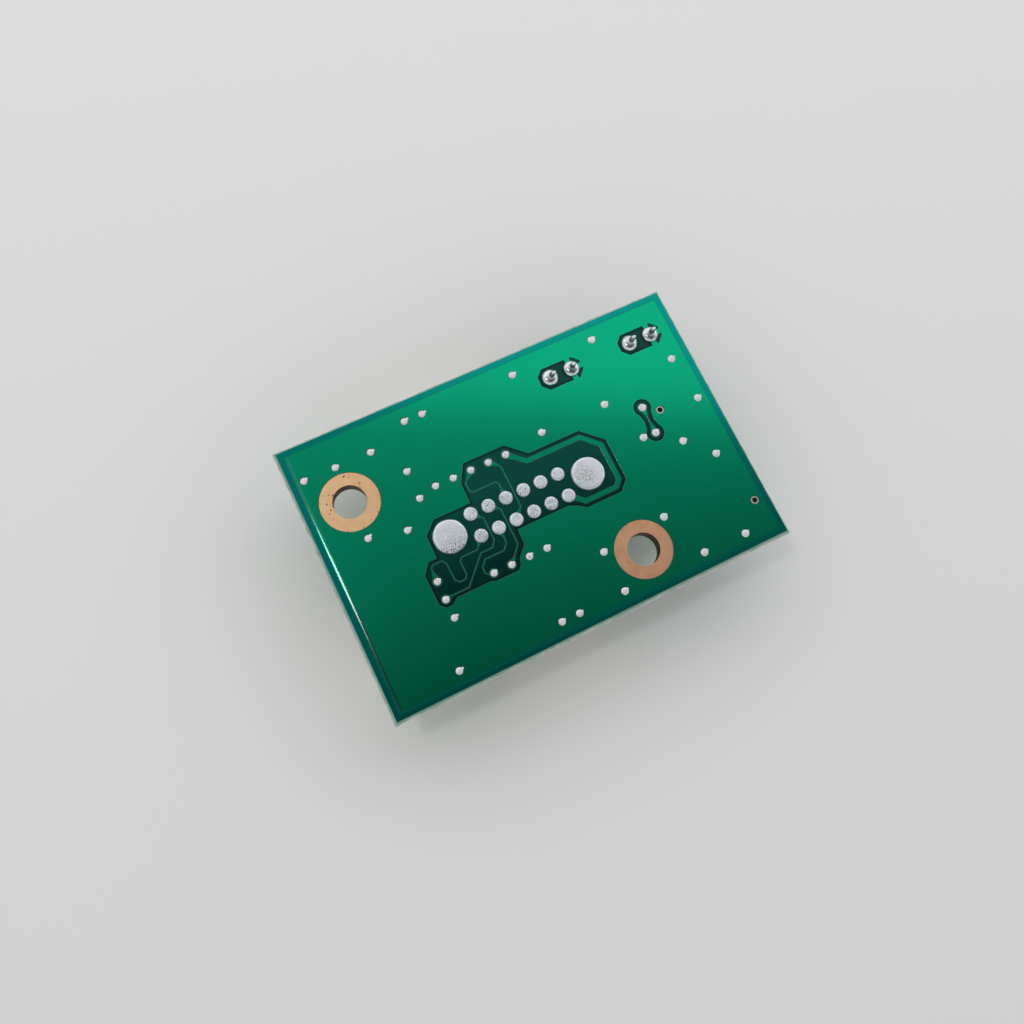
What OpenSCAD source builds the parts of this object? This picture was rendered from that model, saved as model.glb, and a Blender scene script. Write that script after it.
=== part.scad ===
// Camera relay board, solder side up, standing on the rim of its main header.
// X runs along the long side, Y along the short side, Z = 0 is the header's rim.

/* [Board] */
// Length of the board between the snapped edges
board_l = 45.3; // [42:0.1:60]
// Width of the board between the snapped edges
board_w = 30.2; // [29:0.1:45]
// Thickness of the laminate
board_t = 1.6; // [0.8:0.1:3.2]
// Width of the score's slope, seen from above
score_w = 0.4; // [0.1:0.05:0.6]
// Depth of the score on each face
score_d = 0.45; // [0.2:0.05:0.6]
// Thickness of the copper foil
foil_t = 0.035; // [0.018:0.001:0.045]
// Thickness of the solder mask
mask_t = 0.05; // [0.05:0.005:0.08]
// Gap between a solder pad and the mask round it
mask_relief = 0.04; // [0.02:0.01:0.08]
// Bare border between the top face's edge and the ground plane
plane_margin = 0.65; // [0.3:0.05:1]

/* [Mounting holes] */
// Diameter of each plated screw hole
mount_hole_d = 3.5; // [3:0.1:4]
// Diameter of the bare copper ring
mount_ring_d = 6.2; // [5:0.1:7]
// Thickness of the plating on the hole's wall
plating_t = 0.05; // [0.03:0.01:0.1]
// Left hole from the board's middle, as a share of its length
mount_left_x_share = -0.3863; // [-0.4:0.0001:-0.37]
// Left hole from the board's middle, as a share of its width
mount_left_y_share = 0.2351; // [0.22:0.0001:0.25]
// Right hole along the board, from the header's middle
mount_right_reach = 9.5; // [9.2:0.1:10.5]
// Right hole from the board's middle, as a share of its width
mount_right_y_share = -0.3311; // [-0.36:0.0001:-0.32]

/* [Main header] */
// Header from the board's middle, as a share of its length
header_x_share = -0.0442; // [-0.05:0.0001:-0.038]
// Header from the board's middle, as a share of its width
header_y_share = -0.0132; // [-0.02:0.0001:-0.008]
// Spacing of the pins along a row
pin_pitch = 2; // [1.8:0.05:2.2]
// Spacing of the two rows
row_gap = 2.5; // [2.2:0.05:2.8]
// Side of a square pin
pin_side = 0.5; // [0.4:0.05:0.55]
// Diameter of a drilled pin hole
pin_hole_d = 0.9; // [0.8:0.05:1]
// Diameter of a pin's solder pad
pin_pad_d = 1.42; // [1.2:0.02:1.6]
// Height of the solder over a pin pad
pin_joint_h = 0.28; // [0.2:0.02:0.4]
// Length of a pin past the laminate
pin_stub = 0.16; // [0.1:0.02:0.2]
// Distance from the last pin to the hold-down post
post_reach = 2.9; // [2.7:0.1:3.3]
// Diameter of a hold-down post
post_d = 1.8; // [1.4:0.1:2]
// Diameter of a drilled post hole
post_hole_d = 2.2; // [2.1:0.1:2.4]
// Diameter of a post's solder pad
post_pad_d = 3.5; // [3.2:0.1:3.6]
// Height of the solder over a post pad
post_joint_h = 0.36; // [0.25:0.02:0.5]
// Depth of a post in its ear
post_seat = 3; // [2:0.1:3.5]
// Height of the header under the board
header_h = 7.2; // [7.1:0.1:9]
// Thickness of the shroud's wall
header_wall = 0.9; // [0.7:0.05:1.1]
// Thickness of the shroud's floor
header_floor = 1.8; // [1.2:0.1:2.5]
// Room between the pins and the shroud's wall
pin_room = 1; // [0.8:0.05:1.2]
// Height of the ears that hold the posts
ear_h = 4; // [3.8:0.1:5]
// Plastic left round a post
ear_wall = 1; // [0.8:0.05:1.2]
// Room between the pin tips and the rim
pin_tip_room = 1.2; // [0.8:0.1:2]
// Width of the key slot in the shroud
key_w = 3.6; // [2.5:0.1:5]
// Height of the key slot from the rim
key_h = 4; // [3:0.1:4.5]

/* [Capacitors] */
// Both capacitors from the board's middle, as a share of its width
capacitor_y_share = 0.3526; // [0.34:0.0001:0.36]
// First capacitor from the board's middle, as a share of its length
capacitor_1_x_share = 0.1837; // [0.18:0.0001:0.19]
// Second capacitor from the board's middle, as a share of its length
capacitor_2_x_share = 0.3967; // [0.39:0.0001:0.4]
// Diameter over the sleeve
capacitor_d = 6.3; // [5.5:0.1:6.5]
// Height of a capacitor
capacitor_h = 6.9; // [5:0.1:7]
// Thickness of the sleeve
sleeve_t = 0.12; // [0.08:0.01:0.2]
// Width of the sleeve's fold over the can's end
sleeve_lip = 0.8; // [0.5:0.1:1.2]
// Depth of the rolled bead that grips the seal
bead_d = 0.35; // [0.2:0.05:0.5]
// Height of the rubber seal
seal_h = 1.6; // [1.4:0.1:2]
// Wall of the can round the seal
can_rim = 0.35; // [0.25:0.05:0.5]
// Spacing of a capacitor's leads
lead_pitch = 2.54; // [2.4:0.02:2.6]
// Diameter of a lead
lead_d = 0.6; // [0.45:0.05:0.65]
// Diameter of a drilled lead hole
lead_hole_d = 0.9; // [0.8:0.05:1]
// Diameter of a lead's solder pad
lead_pad_d = 1.6; // [1.4:0.05:1.7]
// Length of a lead past the laminate
lead_stub = 1.5; // [1.2:0.05:2]
// Height of the solder cone on a lead
lead_joint_h = 0.85; // [0.6:0.05:1]
// Solder left round the lead at the cone's top
lead_joint_rim = 0.1; // [0.05:0.01:0.15]

/* [Copper] */
// Width of a signal track
track_w = 0.18; // [0.14:0.01:0.24]
// Width of the power track
power_w = 0.57; // [0.4:0.01:0.65]
// Length of the taper where a track leaves a pad
taper_l = 1.15; // [1:0.05:1.3]
// Gap between a lead pad and the plane
lead_gap = 0.4; // [0.3:0.02:0.5]
// Width of a spoke from a lead pad to the plane
spoke_w = 0.65; // [0.5:0.05:0.75]
// Diameter of the drilled hole of a via
via_drill_d = 0.4; // [0.3:0.05:0.5]
// Diameter of the solder dot on a via
via_dot_d = 0.78; // [0.6:0.02:0.9]
// Height of the solder dot on a via
via_dot_h = 0.12; // [0.08:0.01:0.2]
// Diameter of a signal via's copper land
via_land_d = 1.05; // [0.95:0.05:1.2]
// Diameter of an open via's hole
open_via_d = 0.56; // [0.45:0.02:0.6]
// Diameter of an open via's ring
open_via_ring_d = 0.86; // [0.75:0.02:1]
// Gap between the two-via link and the plane
link_gap = 0.4; // [0.3:0.02:0.5]
// Far row of vias from the header's middle, in pin pitches
far_row_pitches = 2.7; // [2.65:0.01:2.75]
// Near row of vias from the header's middle, in pin pitches
near_row_pitches = 2.625; // [2.6:0.005:2.65]
// Left row of vias from the header's middle, in pin pitches
left_row_pitches = 5.5; // [5.45:0.01:5.55]

/* [Edge connectors] */
// Side of a square contact
contact_side = 0.5; // [0.4:0.05:0.6]
// Height of a housing under the board
socket_h = 5.4; // [5:0.1:6]
// Length of a housing on a long side of the board, as a share of the board's width
long_side_socket_share = 0.2384; // [0.225:0.0001:0.245]
// Length of the housing on the short side of the board, as a share of the board's length
short_side_socket_share = 0.1589; // [0.15:0.0001:0.163]
// Distance from the last contact to the housing's side
socket_side = 2.95; // [2.7:0.05:3.2]
// Wall of a housing
socket_wall = 1; // [0.8:0.05:1.2]
// Thickness of a housing's back wall
socket_back = 1.8; // [1.4:0.1:2.2]
// Distance from the mouth to the board's edge
socket_setback = 0.45; // [0.4:0.05:0.7]
// Room between the contact tips and the mouth
contact_tip_room = 1.4; // [1:0.1:2]
// Length of a contact's foot on the board
foot_l = 1.6; // [1.3:0.05:1.65]
// Thickness of a hold-down tab
tab_t = 0.3; // [0.2:0.05:0.4]
// Length of a hold-down tab along the housing
tab_l = 2.4; // [1.8:0.1:3]
// Reach of a tab's foot from the housing's side
tab_reach = 1.3; // [1:0.1:1.5]
// Copper land showing round a foot
land_margin = 0.12; // [0.08:0.01:0.15]
// Five-way connector along the board from the header's middle, in pin pitches
five_way_pitches = -1.5; // [-1.6:0.05:-1.4]
// Four-way connector along the board from the header's middle, in pin pitches
four_way_pitches = -1.25; // [-1.35:0.05:-1.15]
// Three-way connector across the board from the header's middle, in pin pitches
three_way_pitches = -2.8; // [-2.9:0.05:-2.7]

/* [Hidden] */
$fn = 48;
// Overshoot of a cut past the face that it opens
CUT = 1;
// Share of a round land that a taper starts from
TAPER_SHARE = 0.84;
// Share of a track's width that a taper ends at, so that its end lies inside the track
TAPER_TIP = 0.9;

// Heights, from the rim of the header up to the top of the mask
seat_z = header_h;
under_z = seat_z + mask_t;
top_z = under_z + board_t;
foil_z = top_z + foil_t;

face_l = board_l - 2 * score_w;
face_w = board_w - 2 * score_w;

// Header layout: columns 0 to 5 from left to right, row 0 is the far one
PIN_COLUMNS = 6;
PIN_COUNT = 2 * PIN_COLUMNS;
pin_span = (PIN_COLUMNS - 1) * pin_pitch;
header_at = [header_x_share * board_l, header_y_share * board_w];
shroud_l = pin_span + pin_side + 2 * (pin_room + header_wall);
shroud_w = row_gap + pin_side + 2 * (pin_room + header_wall);
post_x = pin_span / 2 + post_reach;
ear_d = post_d + 2 * ear_wall;
post_h = post_seat + mask_t + board_t + pin_stub;

function pin_at(column, row) =
    header_at + [column * pin_pitch - pin_span / 2, row_gap / 2 - row * row_gap];
function post_at(side) = header_at + [side * post_x, 0];
pins = [for (row = [0, 1], column = [0 : PIN_COLUMNS - 1]) pin_at(column, row)];
posts = [post_at(-1), post_at(1)];

// Capacitors: each stands on its left lead's net, its right lead is grounded
capacitors = [for (share = [capacitor_1_x_share, capacitor_2_x_share])
    [share * board_l, capacitor_y_share * board_w]];
lead_h = seal_h + mask_t + board_t + lead_stub;
function lead_at(capacitor, side) = capacitors[capacitor] + [side * lead_pitch / 2, 0];
leads = [for (capacitor = [0, 1], side = [-1, 1]) lead_at(capacitor, side)];

mounts = [
    [mount_left_x_share * board_l, mount_left_y_share * board_w],
    [header_at.x + mount_right_reach, mount_right_y_share * board_w]
];

// Edge connectors: contacts, place of the back wall's middle and turn of the mouth from +Y
SOCKET_NAMES = ["five_way", "four_way", "three_way"];
SOCKET_WAYS = [5, 4, 3];
SOCKET_TURNS = [0, 180, 90];
socket_lengths = [
    long_side_socket_share * board_w, long_side_socket_share * board_w, short_side_socket_share * board_l
];
back_insets = [for (length = socket_lengths) socket_setback + length];
five_way_x = header_at.x + five_way_pitches * pin_pitch;
four_way_x = header_at.x + four_way_pitches * pin_pitch;
three_way_y = header_at.y + three_way_pitches * pin_pitch;
socket_places = [
    [five_way_x, board_w / 2 - back_insets[0]],
    [four_way_x, back_insets[1] - board_w / 2],
    [back_insets[2] - board_l / 2, three_way_y]
];
function socket_w(ways) = (ways - 1) * pin_pitch + 2 * socket_side;
function spread(index, count) = (index - (count - 1) / 2) * pin_pitch;

// Rows of vias round the header, one via to each contact of an edge connector
function far_via(index) = [five_way_x + spread(index, 5), header_at.y + far_row_pitches * pin_pitch];
function near_via(index) = [four_way_x + spread(index, 4), header_at.y - near_row_pitches * pin_pitch];
function left_via(index) = [header_at.x - left_row_pitches * pin_pitch, three_way_y - spread(index, 3)];

// Vias beside a mounting hole, from its middle in ring diameters
function by_mount(mount, points) = [for (point = points) mounts[mount] + mount_ring_d * point];

// Other vias: their places are drawn on a board of this size and spread with the real one
DRAWN = [45.3, 30.2];
function placed(points) = [for (point = points) [point.x * board_l / DRAWN.x, point.y * board_w / DRAWN.y]];

signal_vias = [far_via(2), far_via(3), far_via(4), near_via(0), near_via(1), left_via(0), left_via(1)];
link_vias = placed([[14.55, 3.6], [14.55, 0.55]]);
open_vias = placed([[16.2, 2.6], [20.7, -10.4]]);
stitching_vias = concat(
    [far_via(0), far_via(1), near_via(2), near_via(3), left_via(2)],
    by_mount(0, [[0.016, 0.629], [0.016, -0.677]]),
    by_mount(1, [[0.565, 0.339], [-0.629, 0.242], [-0.613, -0.484]]),
    placed([[-20.8, 11], [-13.5, 11], [-9, 12.6], [-7, 12.6], [3.5, 12.6], [13.1, 12.7]]),
    placed([[-11, 7.6], [-11, 4.5], [-13.5, 2], [3.5, 5.6], [11, 5.6], [20.1, 7.2]]),
    placed([[20.6, 2.1], [13.1, 0.6], [16.8, -1.5], [19.4, -4.2]]),
    placed([[-14.8, -12.9], [-3.5, -13], [-1.5, -13], [13.1, -13], [18, -13.1]])
);

// Window in the ground plane round the header's nets, from the header's middle in half pin pitches
header_window = [
    [-3.4, 6.35], [1.25, 6.35], [3.2, 4.5], [9.1, 4.5], [11.3, 2.45], [11.3, -2.15],
    [10.25, -3.2], [6.2, -3.2], [5.5, -2.65], [4.45, -2.2], [-1.4, -2.2], [-1.45, -3.9],
    [-2.45, -4.9], [-2.65, -5.55], [-3.05, -6.05], [-5.6, -6.05], [-6.1, -5.85], [-9.9, -5.85],
    [-10.6, -6.35], [-11.25, -6.35], [-11.8, -5.8], [-11.85, -2.6], [-10.95, -1.5],
    [-10.1, -1.5], [-10, -1.35], [-10, 1], [-8.65, 2.25], [-4.5, 2.25], [-4.5, 4.5]
];

// Bends of each net between its pin and its via, from the header's middle in half pin pitches
net_bends = [
    [[-1, 2.9], [-1.25, 3.2], [-3.75, 3.2], [-4.1, 3.5], [-4.1, 4.3]],
    [[0, -0.2], [0, 4.4], [-0.1, 4.6]],
    [[-4, 0.3], [-4, -2.2], [-4.5, -2.85], [-5.8, -2.85], [-8.4, -5.5], [-10.2, -5.5]],
    [[-2, 0.4], [-2, -3.6], [-2.9, -4.6]],
    [[-6, -2.4], [-7.7, -2.4], [-8.05, -2.7], [-8.05, -4.2], [-8.35, -4.6], [-9, -4.6],
     [-9.35, -4.2], [-9.4, -2.3], [-9.7, -1.9], [-10.7, -1.9], [-11, -2.2]],
    [[-3, -3], [-3.55, -3.6], [-5.7, -3.6], [-6.3, -4.25], [-6.3, -4.9], [-5.9, -5.3]]
];
power_bends = [[6.35, -2.55], [9.95, -2.55], [10.6, -1.9], [10.6, 2.2], [8.9, 3.85], [2.7, 3.85]];
net_pins = [pin_at(2, 0), pin_at(2, 1), pin_at(0, 0), pin_at(1, 0), pin_at(0, 1), pin_at(1, 1)];
net_vias = [far_via(2), far_via(3), left_via(1), near_via(1), left_via(0), near_via(0)];
power_path = concat([pin_at(5, 1)], from_header(power_bends), [far_via(4)]);
function from_header(points) = [for (point = points) header_at + pin_pitch / 2 * point];
function net_path(net) = concat([net_pins[net]], from_header(net_bends[net]), [net_vias[net]]);

NODES = concat(
    ["laminate", "ground_plane", "signal_tracks", "solder_side_mask", "component_side_mask"],
    ["copper_ring_left", "copper_ring_right", "stitching_vias", "signal_vias", "open_vias"],
    ["header_housing", "header_post_left", "header_post_right"],
    [for (index = [1 : PIN_COUNT]) str("header_pin_", index)],
    ["pin_joints_far_row", "pin_joints_near_row", "post_joint_left", "post_joint_right"],
    [for (index = [1, 2], piece = ["can", "sleeve", "seal", "left_lead", "right_lead", "joints"])
        str("capacitor_", index, "_", piece)],
    [for (name = SOCKET_NAMES, piece = ["housing", "contacts", "tabs"]) str(name, "_", piece)],
    ["component_side_lands"]
);
node = "all";

// Outline of a strip of one width along a path, with mitred corners
function unit(v) = v / norm(v);
function left_of(v) = [-v.y, v.x];
function mitre(path, i, half) =
    let (last = len(path) - 1)
    let (before = unit(path[max(i, 1)] - path[max(i, 1) - 1]))
    let (after = unit(path[min(i, last - 1) + 1] - path[min(i, last - 1)]))
    let (across = left_of(unit(before + after)))
    path[i] + half / (across * left_of(after)) * across;
function strip(path, width) = concat(
    [for (i = [0 : len(path) - 1]) mitre(path, i, -width / 2)],
    [for (i = [len(path) - 1 : -1 : 0]) mitre(path, i, width / 2)]
);

// Taper from a round land into a track that leaves it towards a point
module taper(land, towards, land_d, width) {
    along = unit(towards - land);
    across = left_of(along);
    foot = TAPER_SHARE * land_d / 2 * across;
    tip = land + min(taper_l, norm(towards - land)) * along;
    end = TAPER_TIP * width / 2 * across;
    polygon([land + foot, land - foot, tip - end, tip + end]);
}

module at(points) {
    for (point = points) translate(point) children();
}

module net(path, width) {
    last = len(path) - 1;
    polygon(strip(path, width));
    taper(path[0], path[1], pin_pad_d, width);
    taper(path[last], path[last - 1], via_land_d, width);
    translate(path[0]) circle(d = pin_pad_d);
    translate(path[last]) circle(d = via_land_d);
}

// Copper of the signal nets and lone pads, without its holes
module signal_copper() {
    for (index = [0 : len(net_bends) - 1]) net(net_path(index), track_w);
    net(power_path, power_w);
    at([pin_at(3, 0), pin_at(4, 0), pin_at(5, 0), pin_at(3, 1), pin_at(4, 1)]) circle(d = pin_pad_d);
    at(posts) circle(d = post_pad_d);
    at([lead_at(0, -1), lead_at(1, -1)]) circle(d = lead_pad_d);
    at(link_vias) circle(d = via_land_d);
    polygon(strip(link_vias, track_w));
    taper(link_vias[0], link_vias[1], via_land_d, track_w);
    taper(link_vias[1], link_vias[0], via_land_d, track_w);
}

// Clearance round both pads of a capacitor, with cut corners
module lead_window() {
    half = lead_pad_d / 2 + lead_gap;
    corner = half * (2 - sqrt(2));
    reach = lead_pitch / 2 + half;
    polygon([
        [-reach, corner - half], [corner - reach, -half], [reach - corner, -half], [reach, corner - half],
        [reach, half - corner], [reach - corner, half], [corner - reach, half], [-reach, half - corner]
    ]);
}

// Grounded pad of a capacitor with its three spokes
module grounded_pad() {
    reach = lead_pad_d / 2 + 2 * lead_gap;
    translate([lead_pitch / 2, 0]) {
        circle(d = lead_pad_d);
        translate([-spoke_w / 2, -reach]) square([spoke_w, 2 * reach]);
        translate([0, -spoke_w / 2]) square([reach, spoke_w]);
    }
}

// Clearance round the two-via link
module link_window() {
    land = via_land_d / 2 + link_gap;
    neck = track_w / 2 + link_gap;
    flank = [TAPER_SHARE * land, 0];
    waist = [neck, 0];
    middle = (link_vias[0] + link_vias[1]) / 2;
    at(link_vias) circle(r = land);
    polygon([
        link_vias[1] - flank, link_vias[1] + flank, middle + waist,
        link_vias[0] + flank, link_vias[0] - flank, middle - waist
    ]);
}

// Ground plane seen from above, without its round holes
module plane_copper() {
    difference() {
        square([face_l - 2 * plane_margin, face_w - 2 * plane_margin], center = true);
        polygon(from_header(header_window));
        at(capacitors) lead_window();
        link_window();
    }
    at(capacitors) grounded_pad();
}

// Everything drilled or opened through a layer, each kind at its own diameter
module bores(mount_d, pin_d, post_bore_d, lead_bore_d, via_d, open_d) {
    at(mounts) circle(d = mount_d);
    at(pins) circle(d = pin_d);
    at(posts) circle(d = post_bore_d);
    at(leads) circle(d = lead_bore_d);
    at(concat(stitching_vias, signal_vias, link_vias)) circle(d = via_d);
    at(open_vias) circle(d = open_d);
}

module layer(z, thickness) {
    translate([0, 0, z]) linear_extrude(thickness) children();
}

// Section of the board across a pair of scored edges
function scored_section(width) =
    let (edge = width / 2, face = width / 2 - score_w)
    [
        [-face, 0], [face, 0], [edge, score_d], [edge, board_t - score_d],
        [face, board_t], [-face, board_t], [-edge, board_t - score_d], [-edge, score_d]
    ];

module laminate() {
    color("#cdd5c4") difference() {
        translate([0, 0, under_z]) intersection() {
            rotate([90, 0, 0]) linear_extrude(board_w + CUT, center = true) polygon(scored_section(board_l));
            rotate([90, 0, 90]) linear_extrude(board_l + CUT, center = true) polygon(scored_section(board_w));
        }
        layer(under_z - CUT, board_t + 2 * CUT)
            bores(mount_hole_d + 2 * plating_t, pin_hole_d, post_hole_d, lead_hole_d, via_drill_d,
                  open_via_d + 2 * plating_t);
    }
}

module ground_plane() {
    color("#b87333") difference() {
        layer(top_z, foil_t) plane_copper();
        layer(top_z - CUT, foil_t + 2 * CUT)
            bores(mount_ring_d, pin_hole_d, post_hole_d, lead_hole_d, via_dot_d, open_via_ring_d);
    }
}

module signal_tracks() {
    color("#b87333") difference() {
        layer(top_z, foil_t) signal_copper();
        layer(top_z - CUT, foil_t + 2 * CUT)
            bores(mount_ring_d, pin_hole_d, post_hole_d, lead_hole_d, via_dot_d, open_via_ring_d);
    }
}

module solder_side_mask() {
    color("#0b7f63") difference() {
        union() {
            layer(top_z, mask_t) square([face_l, face_w], center = true);
            layer(foil_z, mask_t) plane_copper();
            layer(foil_z, mask_t) signal_copper();
        }
        layer(top_z - CUT, foil_t + CUT) plane_copper();
        layer(top_z - CUT, foil_t + CUT) signal_copper();
        layer(top_z - CUT, foil_t + mask_t + 2 * CUT)
            bores(mount_ring_d, pin_pad_d + 2 * mask_relief, post_pad_d + 2 * mask_relief,
                  lead_pad_d + 2 * mask_relief, via_dot_d, open_via_ring_d);
    }
}

module component_side_mask() {
    color("#0b7f63") difference() {
        layer(seat_z, mask_t) square([face_l, face_w], center = true);
        layer(seat_z - CUT, mask_t + 2 * CUT) {
            at(mounts) circle(d = mount_ring_d);
            at(pins) circle(d = pin_hole_d);
            at(posts) circle(d = post_hole_d);
            at(leads) circle(d = lead_hole_d);
            at(open_vias) circle(d = open_via_ring_d);
            all_lands();
        }
    }
}

// Plated hole: a ring on each face joined by the wall of the hole
module plated_hole(point, hole_d, ring_d) {
    translate(point) difference() {
        union() {
            layer(top_z, foil_t) circle(d = ring_d);
            layer(under_z - foil_t, foil_t) circle(d = ring_d);
            layer(under_z - foil_t, board_t + 2 * foil_t) circle(d = hole_d + 2 * plating_t);
        }
        layer(under_z - CUT, board_t + 2 * CUT) circle(d = hole_d);
    }
}

module copper_ring(index) {
    color("#c08a5c") plated_hole(mounts[index], mount_hole_d, mount_ring_d);
}

module open_via_group() {
    color("#c3c9cb") for (point = open_vias) plated_hole(point, open_via_d, open_via_ring_d);
}

// Low round cap of solder, flat underneath
module solder_cap(diameter, height) {
    sphere_r = (diameter * diameter / 4 + height * height) / (2 * height);
    intersection() {
        translate([0, 0, height - sphere_r]) sphere(r = sphere_r);
        cylinder(d = diameter + CUT, h = height + CUT);
    }
}

// A via filled with solder from face to face, with its dot on the solder side
module filled_via(point) {
    translate(point) {
        layer(under_z, board_t) circle(d = via_drill_d);
        layer(top_z, foil_t) circle(d = via_dot_d);
        translate([0, 0, foil_z]) solder_cap(via_dot_d, via_dot_h);
    }
}

module via_group(points) {
    color("#dfe5e6") for (point = points) filled_via(point);
}

// Soldered hole: fill of the drilled hole and a cap on the pad
module soldered_hole(point, bore_d, pad_d, cap_h) {
    translate(point) {
        layer(under_z, board_t + foil_t) circle(d = bore_d);
        translate([0, 0, foil_z]) solder_cap(pad_d, cap_h);
    }
}

module header_pin(index) {
    color("#cfc7a6") pin_body(pins[index]);
}

module pin_body(point) {
    translate([point.x - pin_side / 2, point.y - pin_side / 2, pin_tip_room])
        cube([pin_side, pin_side, top_z + pin_stub - pin_tip_room]);
}

module pin_joints(row) {
    color("#c4ccd0") for (column = [0 : PIN_COLUMNS - 1]) difference() {
        soldered_hole(pin_at(column, row), pin_hole_d, pin_pad_d, pin_joint_h);
        pin_body(pin_at(column, row));
    }
}

module header_post(side) {
    color("#c9ccce") translate(post_at(side))
        translate([0, 0, seat_z - post_seat]) cylinder(d = post_d, h = post_h);
}

module post_joint(side) {
    color("#c4ccd0") difference() {
        soldered_hole(post_at(side), post_hole_d, post_pad_d, post_joint_h);
        header_post(side);
    }
}

module header_housing() {
    color("#e9e2cf") difference() {
        translate(header_at) header_body();
        for (index = [0 : PIN_COUNT - 1]) pin_body(pins[index]);
        for (side = [-1, 1]) header_post(side);
    }
}

// Shroud with its open mouth down, and an ear at each end
module header_body() {
    difference() {
        union() {
            translate([-shroud_l / 2, -shroud_w / 2, 0]) cube([shroud_l, shroud_w, header_h]);
            translate([-post_x, -ear_d / 2, header_h - ear_h]) cube([2 * post_x, ear_d, ear_h]);
            for (side = [-1, 1])
                translate([side * post_x, 0, header_h - ear_h]) cylinder(d = ear_d, h = ear_h);
        }
        translate([header_wall - shroud_l / 2, header_wall - shroud_w / 2, -CUT])
            cube([shroud_l - 2 * header_wall, shroud_w - 2 * header_wall, header_h - header_floor + CUT]);
        translate([-key_w / 2, -shroud_w / 2 - CUT, -CUT]) cube([key_w, header_wall + 2 * CUT, key_h + CUT]);
    }
}

// Capacitor hanging under the board: rubber seal at the board, closed end down
module capacitor_can(index) {
    can_d = capacitor_d - 2 * sleeve_t;
    foot_z = seat_z - capacitor_h + sleeve_t;
    color("#c8cacb") translate(capacitors[index]) difference() {
        translate([0, 0, foot_z]) cylinder(d = can_d, h = capacitor_h - sleeve_t - can_rim);
        translate([0, 0, seat_z - seal_h]) cylinder(d = can_d - 2 * can_rim, h = seal_h + CUT);
        translate([0, 0, seat_z - seal_h - 2 * bead_d]) rotate_extrude()
            translate([can_d / 2, 0]) circle(r = bead_d);
    }
}

module capacitor_sleeve(index) {
    color("#2b2f33") translate(capacitors[index]) difference() {
        translate([0, 0, seat_z - capacitor_h]) cylinder(d = capacitor_d, h = capacitor_h - can_rim);
        translate([0, 0, seat_z - capacitor_h + sleeve_t])
            cylinder(d = capacitor_d - 2 * sleeve_t, h = capacitor_h);
        translate([0, 0, seat_z - capacitor_h - CUT])
            cylinder(d = capacitor_d - 2 * sleeve_lip, h = sleeve_t + 2 * CUT);
    }
}

module capacitor_seal(index) {
    color("#3a3634") difference() {
        translate([capacitors[index].x, capacitors[index].y, seat_z - seal_h])
            cylinder(d = capacitor_d - 2 * sleeve_t - 2 * can_rim, h = seal_h);
        for (side = [-1, 1]) capacitor_lead(index, side);
    }
}

module capacitor_lead(index, side) {
    color("#d5d8d8") translate(lead_at(index, side))
        translate([0, 0, seat_z - seal_h]) cylinder(d = lead_d, h = lead_h);
}

module capacitor_joints(index) {
    color("#c4ccd0") for (side = [-1, 1]) difference() {
        translate(lead_at(index, side)) {
            layer(under_z, board_t + foil_t) circle(d = lead_hole_d);
            translate([0, 0, foil_z])
                cylinder(d1 = lead_pad_d, d2 = lead_d + 2 * lead_joint_rim, h = lead_joint_h);
        }
        capacitor_lead(index, side);
    }
}

// Frame of an edge connector: its back wall on the X axis, its mouth towards +Y
module at_socket(index) {
    translate(socket_places[index]) rotate(SOCKET_TURNS[index]) children();
}

module socket_housing(index) {
    color("#efe9da") at_socket(index) difference() {
        socket_shell(socket_w(SOCKET_WAYS[index]), socket_lengths[index]);
        contact_row(SOCKET_WAYS[index], socket_lengths[index]);
        tab_pair(socket_w(SOCKET_WAYS[index]));
    }
}

module socket_contacts(index) {
    color("#d0d3d2") at_socket(index)
        contact_row(SOCKET_WAYS[index], socket_lengths[index]);
}

module socket_tabs(index) {
    color("#d0d3d2") at_socket(index) tab_pair(socket_w(SOCKET_WAYS[index]));
}

// Box with an open mouth and two key slots in the wall away from the board
module socket_shell(width, length) {
    foot_z = seat_z - socket_h;
    difference() {
        translate([-width / 2, 0, foot_z]) cube([width, length, socket_h]);
        translate([socket_wall - width / 2, socket_back, foot_z + socket_wall])
            cube([width - 2 * socket_wall, length, socket_h - 2 * socket_wall]);
        for (side = [-1, 1])
            translate([side * pin_pitch / 2 - contact_side, socket_back + socket_wall, foot_z - CUT])
                cube([2 * contact_side, length, socket_wall + 2 * CUT]);
    }
}

// Straight contact through the back wall, then a leg and a foot on the board
module contact_row(ways, length) {
    low_z = seat_z - socket_h / 2 - contact_side / 2;
    for (index = [0 : ways - 1]) translate([spread(index, ways) - contact_side / 2, 0, 0]) {
        translate([0, -contact_side, low_z])
            cube([contact_side, length + contact_side - contact_tip_room, contact_side]);
        translate([0, -contact_side, low_z]) cube([contact_side, contact_side, seat_z - low_z]);
        translate([0, -foot_l, seat_z - contact_side]) cube([contact_side, foot_l, contact_side]);
    }
}

// Tab in a slot of each side wall, with a foot on the board
module tab_pair(width) {
    for (side = [0, 1]) mirror([side, 0, 0]) translate([width / 2 - tab_t, socket_wall, 0]) {
        translate([0, 0, seat_z - socket_h / 2]) cube([tab_t, tab_l, socket_h / 2]);
        translate([0, 0, seat_z - tab_t]) cube([tab_reach + tab_t, tab_l, tab_t]);
    }
}

// Copper under the contacts' feet and the tabs' feet
module lands(ways) {
    tab_x = socket_w(ways) / 2 + tab_reach / 2 + land_margin;
    for (index = [0 : ways - 1])
        translate([spread(index, ways) - contact_side / 2 - land_margin, -foot_l - land_margin])
            square([contact_side + 2 * land_margin, foot_l]);
    for (side = [-1, 1])
        translate([side * tab_x, socket_wall + tab_l / 2])
            square([tab_reach, tab_l + 2 * land_margin], center = true);
}

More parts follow.
